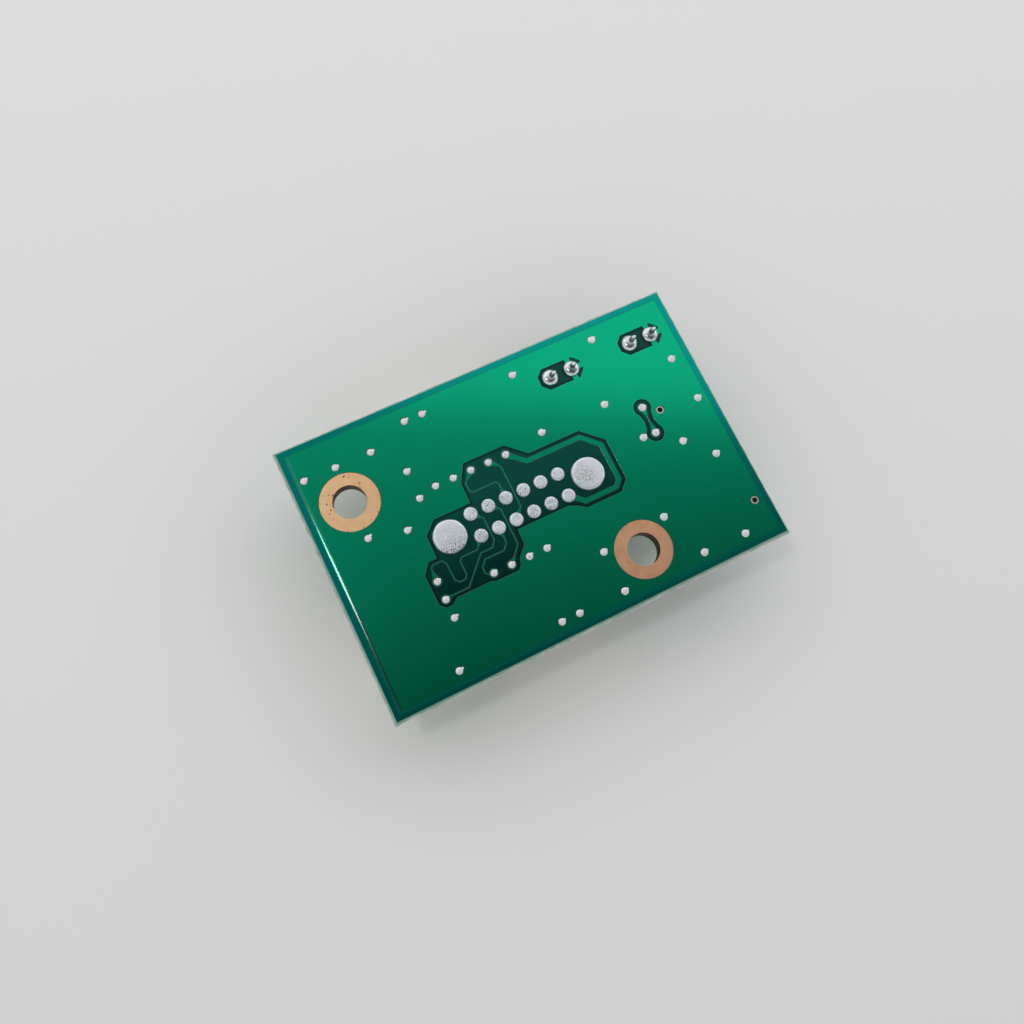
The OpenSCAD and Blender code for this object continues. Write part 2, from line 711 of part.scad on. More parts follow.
module all_lands() {
    for (index = [0 : len(SOCKET_WAYS) - 1]) at_socket(index) lands(SOCKET_WAYS[index]);
}

module component_side_lands() {
    color("#b87333") layer(seat_z, mask_t) all_lands();
}

function shown(name) = node == "all" || node == name;

if (shown("laminate")) laminate();
if (shown("ground_plane")) ground_plane();
if (shown("signal_tracks")) signal_tracks();
if (shown("solder_side_mask")) solder_side_mask();
if (shown("component_side_mask")) component_side_mask();
if (shown("copper_ring_left")) copper_ring(0);
if (shown("copper_ring_right")) copper_ring(1);
if (shown("stitching_vias")) via_group(stitching_vias);
if (shown("signal_vias")) via_group(concat(signal_vias, link_vias));
if (shown("open_vias")) open_via_group();
if (shown("header_housing")) header_housing();
if (shown("header_post_left")) header_post(-1);
if (shown("header_post_right")) header_post(1);
for (index = [1 : PIN_COUNT]) if (shown(str("header_pin_", index))) header_pin(index - 1);
if (shown("pin_joints_far_row")) pin_joints(0);
if (shown("pin_joints_near_row")) pin_joints(1);
if (shown("post_joint_left")) post_joint(-1);
if (shown("post_joint_right")) post_joint(1);
for (index = [1, 2]) {
    if (shown(str("capacitor_", index, "_can"))) capacitor_can(index - 1);
    if (shown(str("capacitor_", index, "_sleeve"))) capacitor_sleeve(index - 1);
    if (shown(str("capacitor_", index, "_seal"))) capacitor_seal(index - 1);
    if (shown(str("capacitor_", index, "_left_lead"))) capacitor_lead(index - 1, -1);
    if (shown(str("capacitor_", index, "_right_lead"))) capacitor_lead(index - 1, 1);
    if (shown(str("capacitor_", index, "_joints"))) capacitor_joints(index - 1);
}
for (index = [0 : len(SOCKET_NAMES) - 1]) {
    if (shown(str(SOCKET_NAMES[index], "_housing"))) socket_housing(index);
    if (shown(str(SOCKET_NAMES[index], "_contacts"))) socket_contacts(index);
    if (shown(str(SOCKET_NAMES[index], "_tabs"))) socket_tabs(index);
}
if (shown("component_side_lands")) component_side_lands();
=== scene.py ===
"""Dresses the camera relay board, a small two-layer circuit board that lies solder side up.

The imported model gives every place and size. This script turns its solids into the green film, the snapped
glass edges, the solder joints and the mouldings that show, and lights them softly from the far side. The
classes of the board's pieces hold their lengths in millimetres.
"""
import logging
import math
from collections.abc import Callable, Iterable, Sequence
from dataclasses import dataclass
from enum import Enum

import bmesh
import bpy
from bmesh.types import BMEdge, BMesh, BMFace, BMVert
from bpy.types import NodeSocket, NodeTree
from mathutils import Matrix, Vector, noise


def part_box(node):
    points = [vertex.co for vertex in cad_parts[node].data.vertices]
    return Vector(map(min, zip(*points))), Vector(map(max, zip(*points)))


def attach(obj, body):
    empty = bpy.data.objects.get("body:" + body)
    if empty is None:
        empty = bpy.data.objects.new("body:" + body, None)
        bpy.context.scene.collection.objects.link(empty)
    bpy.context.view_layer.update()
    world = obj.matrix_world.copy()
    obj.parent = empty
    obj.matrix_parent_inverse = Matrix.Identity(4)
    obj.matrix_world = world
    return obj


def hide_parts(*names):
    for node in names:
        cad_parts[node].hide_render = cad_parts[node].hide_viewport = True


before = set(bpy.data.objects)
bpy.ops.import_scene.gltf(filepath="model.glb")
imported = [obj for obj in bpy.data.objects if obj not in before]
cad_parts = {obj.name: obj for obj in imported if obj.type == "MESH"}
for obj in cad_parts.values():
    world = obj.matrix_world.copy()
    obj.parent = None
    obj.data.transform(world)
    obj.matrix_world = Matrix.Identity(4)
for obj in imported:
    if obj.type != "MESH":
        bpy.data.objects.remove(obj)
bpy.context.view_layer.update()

LOG = logging.getLogger("relay_board")
MM = 0.001
WELD = 0.0002 * MM
# How far solder reaches below the top of the foil.
SOLDER_ROOT = 0.03 * MM
FLAT_ANGLE = math.radians(1)
SHARP_ANGLE = math.radians(40)
UPWARD = 0.9
DOWNWARD = -0.99
SHADE_FILLET = "shade_fillet"
Value = NodeSocket | float | tuple


class Slot(Enum):
    """Material slots of the record."""

    LAMINATE = "laminate"
    SOLDER_MASK = "solder_mask"
    BARE_COPPER = "bare_copper"
    VIA_SOLDER = "via_solder"
    SOLDER = "solder"
    HEADER_PLASTIC = "header_plastic"
    PIN_PLATING = "pin_plating"
    POST_PLATING = "post_plating"
    CAN = "can"
    SLEEVE = "sleeve"
    SEAL = "seal"
    LEAD_WIRE = "lead_wire"
    SOCKET_PLASTIC = "socket_plastic"
    CONTACT_PLATING = "contact_plating"


def linear(colour: str) -> tuple[float, float, float, float]:
    """Turns an sRGB hex colour to linear.

    Args:
        colour: Six hex digits.

    Returns:
        Linear red, green and blue, and an alpha of one.
    """
    parts = [int(colour[i:i + 2], 16) / 255 for i in (0, 2, 4)]
    red, green, blue = (c / 12.92 if c <= 0.04045 else ((c + 0.055) / 1.055) ** 2.4 for c in parts)
    return red, green, blue, 1.0


def per(size_mm: float) -> float:
    """Gives the scale of a pattern from the real size of its marks in millimetres."""
    return 1 / (size_mm * MM)


def add_node(
    tree: NodeTree,
    kind: str,
    inputs: dict[str | int, Value] | None = None,
    out: str | int = 0,
    **settings: object,
) -> NodeSocket | None:
    """Adds a node with its settings and links.

    Args:
        tree: Node tree that takes the node.
        kind: Blender's name of the node's type, without the start that all shader nodes share.
        inputs: A value or another node's output for each input, by name or place.
        out: Name or place of the output to use.
        settings: Properties of the node itself.

    Returns:
        The output to use, or None for a node without outputs.
    """
    node = tree.nodes.new(f"ShaderNode{kind}")
    for name, value in settings.items():
        setattr(node, name, value)
    for key, value in (inputs or {}).items():
        if isinstance(value, NodeSocket):
            tree.links.new(value, node.inputs[key])
        else:
            node.inputs[key].default_value = value
    return node.outputs[out] if node.outputs else None


class Finish:
    """A real surface that becomes one procedural material."""

    name: str

    def sockets(self, tree: NodeTree) -> dict[str, Value]:
        """Gives the shader's inputs.

        Args:
            tree: Node tree that takes the pattern's nodes.

        Returns:
            A value or an output for each input of the shader.
        """
        raise NotImplementedError

    def material(self) -> bpy.types.Material:
        """Makes the material once, and gives the same one after that.

        Returns:
            The material.
        """
        made = bpy.data.materials.get(self.name)
        if made is None:
            made = bpy.data.materials.new(self.name)
            made.use_nodes = True
            tree = made.node_tree
            tree.nodes.clear()
            shader = add_node(tree, "BsdfPrincipled", self.sockets(tree))
            add_node(tree, "OutputMaterial", {"Surface": shader})
        return made


@dataclass(frozen=True)
class SolderMask(Finish):
    """Cured liquid mask, sprayed on: a clear glossy green film.

    Foil under the film mirrors light back through it, which reads as a bright metallic green. Over bare
    laminate the film stays dark, painted darker towards the near side as painted shade, and darkest in
    strips of painted corner shade at the foot of each window's edge. The board's margin is painted teal for
    light that comes in through the torn edge. The height of the film tells what lies under it.
    """

    name: str
    foil_level: float
    plane: tuple[float, float]
    on_foil: str = "04a77c"
    on_foil_thin: str = "069d74"
    on_laminate: str = "08463f"
    on_laminate_shaded: str = "012a26"
    on_shade_fillet: str = "011a17"
    on_shoulder: str = "078062"
    on_shoulder_shaded: str = "02382d"
    on_margin: str = "088a80"
    mirror: float = 0.94
    dark_roughness: float = 0.09
    bright_roughness: float = 0.17
    gloss: tuple[float, float] = (0.08, 0.5)
    gloss_mm: tuple[float, float] = (0.003, 0.005)
    step_mm: float = 0.035
    fade_mm: float = 0.0008
    margin_mm: tuple[float, float] = (-0.16, 0.24)
    shoulder_mm: tuple[float, float] = (-0.363, -0.33)
    lit_share_mm: tuple[float, float] = (-5.0, 2.0)
    patch_mm: float = 6.0
    ripple_mm: float = 1.4
    ripple_height_mm: float = 0.0006

    def sockets(self, tree: NodeTree) -> dict[str, Value]:
        """Gives the shader's inputs.

        Args:
            tree: Node tree that takes the pattern's nodes.

        Returns:
            A value or an output for each input of the shader.
        """
        place = add_node(tree, "TexCoord", out="Object")
        axes = add_node(tree, "SeparateXYZ", {"Vector": place}).node.outputs
        from_middle = add_node(tree, "VectorMath", {0: place}, operation="ABSOLUTE")
        plane = (*self.plane, 0.0)
        past_plane = add_node(tree, "VectorMath", {0: from_middle, 1: plane}, operation="SUBTRACT")
        past = add_node(tree, "SeparateXYZ", {"Vector": past_plane}).node.outputs
        furthest = add_node(tree, "Math", {0: past["X"], 1: past["Y"]}, operation="MAXIMUM")
        limits = {"From Min": self.foil_level - self.fade_mm * MM, "From Max": self.foil_level}
        foil = add_node(tree, "MapRange", {"Value": axes["Z"], **limits})
        margin, shoulder, lit_share = (
            add_node(tree, "MapRange", {"Value": value, "From Min": low * MM, "From Max": high * MM})
            for value, (low, high) in (
                (furthest, self.margin_mm),
                (furthest, self.shoulder_mm),
                (axes["Y"], self.lit_share_mm),
            )
        )
        patch, ripple = (
            add_node(tree, "TexNoise", {"Vector": place, "Scale": per(size), "Detail": detail})
            for size, detail in ((self.patch_mm, 3.0), (self.ripple_mm, 2.0))
        )
        # film_tone and shoulder_tone are painted darker towards the near side (low Y) as painted shade; the
        # shoulder's green stands in for the foil's mirrored green as painted reflection.
        green, film_tone, shoulder_tone = (
            add_node(tree, "Mix", {0: share, 6: linear(tone), 7: linear(other)}, 2, data_type="RGBA")
            for share, tone, other in (
                (patch, self.on_foil, self.on_foil_thin),
                (lit_share, self.on_laminate_shaded, self.on_laminate),
                (lit_share, self.on_shoulder_shaded, self.on_shoulder),
            )
        )
        # Painted corner shade: near-black green along the foot of each window's edge, read from the strips'
        # mark.
        shade_fillet = add_node(tree, "Attribute", out="Fac", attribute_name=SHADE_FILLET)
        colour = film_tone
        # The margin's teal is painted light, which comes in through the torn edge.
        for share, tone in (
            (shade_fillet, linear(self.on_shade_fillet)),
            (shoulder, shoulder_tone),
            (foil, green),
            (margin, linear(self.on_margin)),
        ):
            colour = add_node(tree, "Mix", {0: share, 6: colour, 7: tone}, 2, data_type="RGBA")
        bright = add_node(tree, "Math", {0: foil, 1: margin}, operation="MAXIMUM")
        metal = add_node(tree, "MapRange", {"Value": bright, "To Max": self.mirror})
        limits = {"To Min": self.dark_roughness, "To Max": self.bright_roughness}
        roughness = add_node(tree, "MapRange", {"Value": bright, **limits})
        sunk = self.foil_level - self.step_mm * MM
        limits = {"From Min": sunk + self.gloss_mm[0] * MM, "From Max": sunk + self.gloss_mm[1] * MM}
        levels = {"To Min": self.gloss[0], "To Max": self.gloss[1]}
        gloss = add_node(tree, "MapRange", {"Value": axes["Z"], **limits, **levels})
        bump = add_node(tree, "Bump", {"Height": ripple, "Distance": self.ripple_height_mm * MM})
        return {
            "Base Color": colour,
            "Metallic": metal,
            "Roughness": roughness,
            "Specular IOR Level": gloss,
            "Normal": bump,
        }


@dataclass(frozen=True)
class GlassEpoxy(Finish):
    """Woven glass in epoxy resin, scored and snapped: pale dull layers of torn fibres, green under the film.

    Single fibres are too fine to show in the render, so tufts of them are drawn.
    """

    name: str
    web_level: float
    face_level: float
    fibre: str = "c9d2c9"
    resin: str = "8aa396"
    face: str = "4f8577"
    fibre_mm: float = 0.13
    fibre_height_mm: float = 0.05
    bundle_mm: float = 1.3
    layer_mm: float = 0.14
    resin_to: float = 0.8
    fibre_from: float = 1.15

    def sockets(self, tree: NodeTree) -> dict[str, Value]:
        """Gives the shader's inputs.

        Args:
            tree: Node tree that takes the pattern's nodes.

        Returns:
            A value or an output for each input of the shader.
        """
        place = add_node(tree, "TexCoord", out="Object")
        fibres = add_node(tree, "TexNoise", {"Vector": place, "Scale": per(self.fibre_mm), "Detail": 4.0})
        scale = (per(self.bundle_mm), per(self.bundle_mm), per(self.layer_mm))
        stacked = add_node(tree, "Mapping", {"Vector": place, "Scale": scale})
        bundles = add_node(tree, "TexNoise", {"Vector": stacked, "Scale": 1.0, "Detail": 2.0})
        both = add_node(tree, "Math", {0: fibres, 1: bundles}, operation="ADD")
        limits = {"From Min": self.resin_to, "From Max": self.fibre_from}
        share = add_node(tree, "MapRange", {"Value": both, **limits})
        tones = {6: linear(self.resin), 7: linear(self.fibre)}
        torn = add_node(tree, "Mix", {0: share, **tones}, 2, data_type="RGBA")
        height = add_node(tree, "SeparateXYZ", {"Vector": place}, "Z")
        limits = {"From Min": self.web_level, "From Max": self.face_level}
        under_film = add_node(tree, "MapRange", {"Value": height, **limits})
        colour = add_node(tree, "Mix", {0: under_film, 6: torn, 7: linear(self.face)}, 2, data_type="RGBA")
        relief = {"Distance": self.fibre_height_mm * MM, "Strength": 0.7}
        bump = add_node(tree, "Bump", {"Height": fibres, **relief})
        return {"Base Color": colour, "Roughness": 0.75, "Specular IOR Level": 0.3, "Normal": bump}


@dataclass(frozen=True)
class BareCopper(Finish):
    """Plated copper left bare: a soft satin sheen, dulled in patches, with small oxide spots."""

    name: str
    bright: str
    dull: str
    spot: str
    spot_share: float
    spot_edge: float = 0.03
    roughness: float = 0.42
    patch_mm: float = 1.1
    spot_mm: float = 0.3
    grain_mm: float = 0.12
    grain_height_mm: float = 0.004

    def sockets(self, tree: NodeTree) -> dict[str, Value]:
        """Gives the shader's inputs.

        Args:
            tree: Node tree that takes the pattern's nodes.

        Returns:
            A value or an output for each input of the shader.
        """
        place = add_node(tree, "TexCoord", out="Object")
        patches, specks, grain = (
            add_node(tree, "TexNoise", {"Vector": place, "Scale": per(size), "Detail": detail})
            for size, detail in ((self.patch_mm, 4.0), (self.spot_mm, 1.0), (self.grain_mm, 2.0))
        )
        tones = {6: linear(self.bright), 7: linear(self.dull)}
        metal = add_node(tree, "Mix", {0: patches, **tones}, 2, data_type="RGBA")
        limits = {"From Min": 1 - self.spot_share, "From Max": 1 + self.spot_edge - self.spot_share}
        spots = add_node(tree, "MapRange", {"Value": specks, **limits})
        colour = add_node(tree, "Mix", {0: spots, 6: metal, 7: linear(self.spot)}, 2, data_type="RGBA")
        relief = {"Distance": self.grain_height_mm * MM, "Strength": 0.6}
        bump = add_node(tree, "Bump", {"Height": grain, **relief})
        return {"Base Color": colour, "Metallic": 1.0, "Roughness": self.roughness, "Normal": bump}


@dataclass(frozen=True)
class Solder(Finish):
    """Tin-lead solder that froze slowly: whitish satin metal with a fine crystal grain, darker in patches.

    The real grain is finer, and is drawn as coarse as it needs to show in the render.
    """

    name: str
    bright: str
    dark: str
    roughness: float = 0.42
    metal: float = 0.6
    grain_mm: float = 0.12
    grain_height_mm: float = 0.014
    speck: tuple[float, float] = (0.5, 0.62)
    patch_mm: float = 1.3
    patch_share: float = 0.5
    patch_limits: tuple[float, float] = (0.9, 1.15)
    spot: tuple[float, float] | None = None
    spot_mm: float = 1.0
    spot_core: float = 0.3

    def sockets(self, tree: NodeTree) -> dict[str, Value]:
        """Gives the shader's inputs.

        Args:
            tree: Node tree that takes the pattern's nodes.

        Returns:
            A value or an output for each input of the shader.
        """
        place = add_node(tree, "TexCoord", out="Object")
        grain = add_node(tree, "TexNoise", {"Vector": place, "Scale": per(self.grain_mm), "Detail": 2.0})
        limits = {"From Min": self.speck[0], "From Max": self.speck[1]}
        specks = add_node(tree, "MapRange", {"Value": grain, **limits})
        share = add_node(tree, "Math", {0: specks, 1: self.dull_patches(tree, place)}, operation="MULTIPLY")
        tones = {6: linear(self.bright), 7: linear(self.dark)}
        colour = add_node(tree, "Mix", {0: share, **tones}, 2, data_type="RGBA")
        relief = {"Distance": self.grain_height_mm * MM, "Strength": 0.8}
        bump = add_node(tree, "Bump", {"Height": grain, **relief})
        return {"Base Color": colour, "Metallic": self.metal, "Roughness": self.roughness, "Normal": bump}

    def dull_patches(self, tree: NodeTree, place: NodeSocket) -> NodeSocket:
        """Says where the grain shows dark: round one given spot, or in clouds.

        Args:
            tree: Node tree that takes the pattern's nodes.
            place: Object coordinates.

        Returns:
            The share of dark grain.
        """
        if self.spot is None:
            size = {"Scale": per(self.patch_mm), "Detail": 1.0}
            value = add_node(tree, "TexNoise", {"Vector": place, **size})
            low, high = (limit - self.patch_share for limit in self.patch_limits)
        else:
            flat = add_node(tree, "VectorMath", {0: place, 1: (1.0, 1.0, 0.0)}, operation="MULTIPLY")
            spot = (self.spot[0] * MM, self.spot[1] * MM, 0.0)
            value = add_node(tree, "VectorMath", {0: flat, 1: spot}, "Value", operation="DISTANCE")
            low, high = self.spot_mm * MM, self.spot_core * self.spot_mm * MM
        return add_node(tree, "MapRange", {"Value": value, "From Min": low, "From Max": high})


@dataclass(frozen=True)
class Plating(Finish):
    """Tin over brass, drawn and stamped: bright metal with faint draw lines.

    The lines are drawn coarser than the real ones, so that they show in the render.
    """

    name: str
    bright: str
    dark: str
    roughness: float = 0.24
    line_mm: float = 0.1
    line_height_mm: float = 0.003
    length_mm: float = 3.0

    def sockets(self, tree: NodeTree) -> dict[str, Value]:
        """Gives the shader's inputs.

        Args:
            tree: Node tree that takes the pattern's nodes.

        Returns:
            A value or an output for each input of the shader.
        """
        place = add_node(tree, "TexCoord", out="Object")
        scale = (per(self.line_mm), per(self.line_mm), per(self.length_mm))
        drawn = add_node(tree, "Mapping", {"Vector": place, "Scale": scale})
        lines = add_node(tree, "TexNoise", {"Vector": drawn, "Scale": 1.0, "Detail": 3.0})
        tones = {6: linear(self.bright), 7: linear(self.dark)}
        colour = add_node(tree, "Mix", {0: lines, **tones}, 2, data_type="RGBA")
        relief = {"Distance": self.line_height_mm * MM, "Strength": 0.5}
        bump = add_node(tree, "Bump", {"Height": lines, **relief})
        return {"Base Color": colour, "Metallic": 1.0, "Roughness": self.roughness, "Normal": bump}


@dataclass(frozen=True)
class Moulding(Finish):
    """Moulded polymer: an even colour with faint flow marks and a fine spark-eroded skin.

    The skin is drawn coarser than the real one, so that it shows in the render.
    """

    name: str
    tone: str
    flow: str
    roughness: float
    skin_mm: float = 0.18
    skin_height_mm: float = 0.006
    flow_mm: float = 3.5

    def sockets(self, tree: NodeTree) -> dict[str, Value]:
        """Gives the shader's inputs.

        Args:
            tree: Node tree that takes the pattern's nodes.

        Returns:
            A value or an output for each input of the shader.
        """
        place = add_node(tree, "TexCoord", out="Object")
        marks, skin = (
            add_node(tree, "TexNoise", {"Vector": place, "Scale": per(size), "Detail": detail})
            for size, detail in ((self.flow_mm, 4.0), (self.skin_mm, 2.0))
        )
        tones = {6: linear(self.tone), 7: linear(self.flow)}
        colour = add_node(tree, "Mix", {0: marks, **tones}, 2, data_type="RGBA")
        relief = {"Distance": self.skin_height_mm * MM, "Strength": 0.6}
        bump = add_node(tree, "Bump", {"Height": skin, **relief})
        return {"Base Color": colour, "Roughness": self.roughness, "Normal": bump}


LEFT_COPPER = BareCopper("Bare copper, lightly tarnished", "e6c096", "d2a97d", "7a5638", 0.31)
RIGHT_COPPER = BareCopper("Bare copper, tarnished", "eebb95", "d09a76", "a05a40", 0.26)
# The hole walls get a dark copper: painted shade inside the holes.
SHADED_HOLE_COPPER = BareCopper("Copper of a hole wall, darkened as painted shade", "5e3d28", "452a1a", "2c1a10", 0.3)
FOIL = BareCopper("Etched copper foil", "d29a6c", "b87f55", "8a5a3c", 0.28)
JOINT_SOLDER = Solder("Satin solder", "d8e0e6", "58656b", patch_share=0.53)
LEFT_POST_SOLDER = Solder("Grained solder, left post", "d6dce2", "444c50", spot=(-9.9, -2.2), spot_mm=2.9)
RIGHT_POST_SOLDER = Solder("Grained solder, right post", "d9dee3", "656d72", spot=(5.4, -0.6), spot_mm=1.6)
DOME_SOLDER = Solder(
    "Bright solder", "c9cfd1", "8d979b", 0.24, metal=1.0, grain_mm=0.3, grain_height_mm=0.006
)
DOT_SOLDER = Solder("Tinned via solder", "e0dfe2", "a89da2", 0.45, metal=0.4, patch_mm=0.5)
RING_TIN = Solder("Dull tinned ring", "b9b6b0", "8c8880", 0.45)
# Near-black via walls: painted shade inside the open holes.
SHADED_VIA_WALL = BareCopper("Via wall painted black as shade", "0c0b0a", "070706", "141210", 0.3)
# The wire gets a darker copy of its tin on the sides as painted shade, and a lighter one on the cut end as
# painted highlight.
WIRE_SIDE_SHADED = Plating("Tinned wire, sides darkened as painted shade", "8d979a", "5c6568", 0.34)
WIRE_TIP_HIGHLIT = Plating("Cut end of tinned wire, lightened as painted highlight", "d4d8d9", "9ea6a8", 0.42)
PIN_TIN = Plating("Tinned brass pin", "d8d0b4", "b3a985")
POST_TIN = Plating("Tinned brass post", "d3d5d6", "aaaeb0")
CONTACT_TIN = Plating("Tinned brass contact", "d6d8d7", "aeb1b0")
HEADER_NYLON = Moulding("Natural nylon, header", "e9e2cf", "ddd4bd", 0.42)
SOCKET_NYLON = Moulding("Natural nylon, edge connector", "efe9da", "e4dcc8", 0.42)
SLEEVE_PVC = Moulding("Shrunk vinyl sleeve", "2b2f33", "23272b", 0.28, skin_mm=0.6)
STRIPE_INK = Moulding("Grey stripe of the sleeve", "8f959a", "858b90", 0.34, skin_mm=0.6)
LEGEND_INK = Moulding("White legend ink", "eff0eb", "e4e6e0", 0.6)
SEAL_RUBBER = Moulding("Butyl rubber seal", "3a3634", "302c2a", 0.7, skin_mm=0.12)
CAN_ALUMINIUM = Plating("Drawn aluminium", "d2d4d5", "b9bcbe", 0.3, line_mm=0.15, length_mm=6.0)


def node_copy(node: str) -> BMesh:
    """Copies a CAD node and merges its loose triangles.

    Args:
        node: Name of the CAD node.

    Returns:
        The merged mesh.
    """
    mesh = bmesh.new()
    mesh.from_mesh(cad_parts[node].data)
    bmesh.ops.remove_doubles(mesh, verts=mesh.verts, dist=WELD)
    bmesh.ops.dissolve_degenerate(mesh, edges=mesh.edges, dist=WELD)
    return mesh


def groups(items: set, near: Callable[[object], set]) -> list[list]:
    """Splits vertices or edges into groups that hang together.

    Args:
        items: The vertices or edges, which are used up.
        near: Gives the neighbours of one of them.

    Returns:
        The members of each group.
    """
    found = []
    while items:
        group, ends = [], [items.pop()]
        while ends:
            group.append(ends.pop())
            new = near(group[-1]) & items
            items -= new
            ends += new
        found.append(group)
    return found


def corners(verts: Sequence[BMVert]) -> tuple[Vector, Vector]:
    """Gives the lowest and the highest corner of the box round vertices."""
    low, high = (Vector([fit(v.co[axis] for v in verts) for axis in range(3)]) for fit in (min, max))
    return low, high


def islands(node: str) -> list[tuple[Vector, Vector]]:
    """Finds the separate solids of a CAD node.

    Args:
        node: Name of the CAD node.

    Returns:
        The lowest and highest corner of each solid.
    """
    mesh = node_copy(node)
    solids = groups(set(mesh.verts), lambda vert: {e.other_vert(vert) for e in vert.link_edges})
    boxes = [corners(solid) for solid in solids]
    mesh.free()
    return sorted(boxes, key=lambda box: tuple(box[0]))


def outward(vert: BMVert, middle: Vector) -> Vector:
    """Gives the level way from an upright axis to a vertex."""
    return Vector((vert.co.x - middle.x, vert.co.y - middle.y, 0))


def add_object(name: str, data: bpy.types.ID) -> bpy.types.Object:
    """Adds an object to the scene.

    Args:
        name: Name of the object.
        data: Its mesh, light or camera.

    Returns:
        The object.
    """
    made = bpy.data.objects.new(name, data)
    bpy.context.scene.collection.objects.link(made)
    return made


def put_piece(
    mesh: BMesh, name: str, nodes: Iterable[str], slot: Slot, *finishes: Finish, crease: float | None = 20.0
) -> None:
    """Makes a piece of the object from a mesh, in place of CAD nodes.

    Args:
        mesh: Mesh in the row frame, which is used up.
        name: Name of the piece.
        nodes: CAD nodes that the piece stands for.
        slot: Material slot of the record, not used.
        finishes: Surfaces of the piece, in the order of its faces' material numbers.
        crease: Angle in degrees past which an edge stays sharp, or None to keep the faces' own shading.
    """
    data = bpy.data.meshes.new(name)
    mesh.to_mesh(data)
    mesh.free()
    if crease is not None:
        data.shade_smooth()
        data.set_sharp_from_angle(angle=math.radians(crease))
    for finish in finishes:
        data.materials.append(finish.material())
    piece = add_object(name, data)
    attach(piece, "root")
    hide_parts(*nodes)
    LOG.info("%s: %d faces, %s", name, len(data.polygons), finishes[0].name)


def dress_node(node: str, finish: Finish) -> None:
    """Gives a CAD node that stays in view its finish.

    Args:
        node: Name of the CAD node.
        finish: Surface of the node.
    """
    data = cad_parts[node].data
    data.materials.clear()
    data.materials.append(finish.material())
    LOG.info("%s: kept, %s", node, finish.name)


def round_edges(mesh: BMesh, edges: Sequence[BMEdge], radius: float) -> None:
    """Rounds edges of a mesh in two steps.

    Args:
        mesh: Mesh that has the edges.
        edges: Edges to round.
        radius: Width of the rounding in millimetres.
    """
    bmesh.ops.bevel(
        mesh,
        geom=edges,
        offset=radius * MM,
        offset_type="OFFSET",
        affect="EDGES",
        segments=2,
        profile=0.5,
        material=-1,
        clamp_overlap=True,
    )


def rounded_copy(node: str, radius: float) -> BMesh:
    """Copies a CAD node and rounds its sharp edges.

    Args:
        node: Name of the CAD node.
        radius: Width of the rounding in millimetres.

    Returns:
        The rounded mesh.
    """
    mesh = node_copy(node)
    bmesh.ops.dissolve_limit(mesh, angle_limit=FLAT_ANGLE, verts=mesh.verts, edges=mesh.edges)
    edges = [e for e in mesh.edges if len(e.link_faces) == 2 and e.calc_face_angle(0) > SHARP_ANGLE]
    round_edges(mesh, edges, radius)
    return mesh


def put_rounded(node: str, name: str, radius: float, slot: Slot, finish: Finish) -> None:
    """Makes a piece that is a CAD node with its sharp edges rounded."""
    put_piece(rounded_copy(node, radius), name, [node], slot, finish)


def turn_profile(
    mesh: BMesh, axis: Vector, profile: Sequence[tuple[float, float]], steps: int
) -> list[BMVert]:
    """Spins a profile round an upright axis into a closed solid.

    Args:
        mesh: Mesh that takes the solid.
        axis: A point of the axis.
        profile: Radius and height of each point in metres, from the axis at the top to the axis at the foot.
        steps: Sides of the solid.

    Returns:
        The solid's vertices.
    """
    before = set(mesh.verts)
    verts = [mesh.verts.new((axis.x + radius, axis.y, height)) for radius, height in profile]
    edges = [mesh.edges.new(pair) for pair in zip(verts, verts[1:])]
    bmesh.ops.spin(
        mesh,
        geom=[*verts, *edges],
        cent=(axis.x, axis.y, 0),
        axis=(0, 0, 1),
        angle=math.tau,
        steps=steps,
        use_merge=True,
    )
    made = [v for v in mesh.verts if v not in before]
    bmesh.ops.remove_doubles(mesh, verts=made, dist=WELD)
    made = [v for v in mesh.verts if v not in before]
    bmesh.ops.recalc_face_normals(mesh, faces=list({f for v in made for f in v.link_faces}))
    return made


def cap_profile(radius: float, top: float, fullness: float, rings: int) -> list[tuple[float, float]]:
    """Draws the profile of a low solder cap that is rooted in the foil.

    Args:
        radius: Radius of the pad.
        top: Height of the cap's top.
        fullness: Power of the cap's curve: 2 is round, more is flatter on top.
        rings: Points along the curve.

    Returns:
        Radius and height of each point.
    """
    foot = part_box("ground_plane")[1].z - SOLDER_ROOT
    shares = [math.sin(i / rings * math.pi / 2) for i in range(rings + 1)]
    curve = [(radius * share, foot + (top - foot) * (1 - share**fullness)) for share in shares]
    return [*curve, (0.0, foot)]


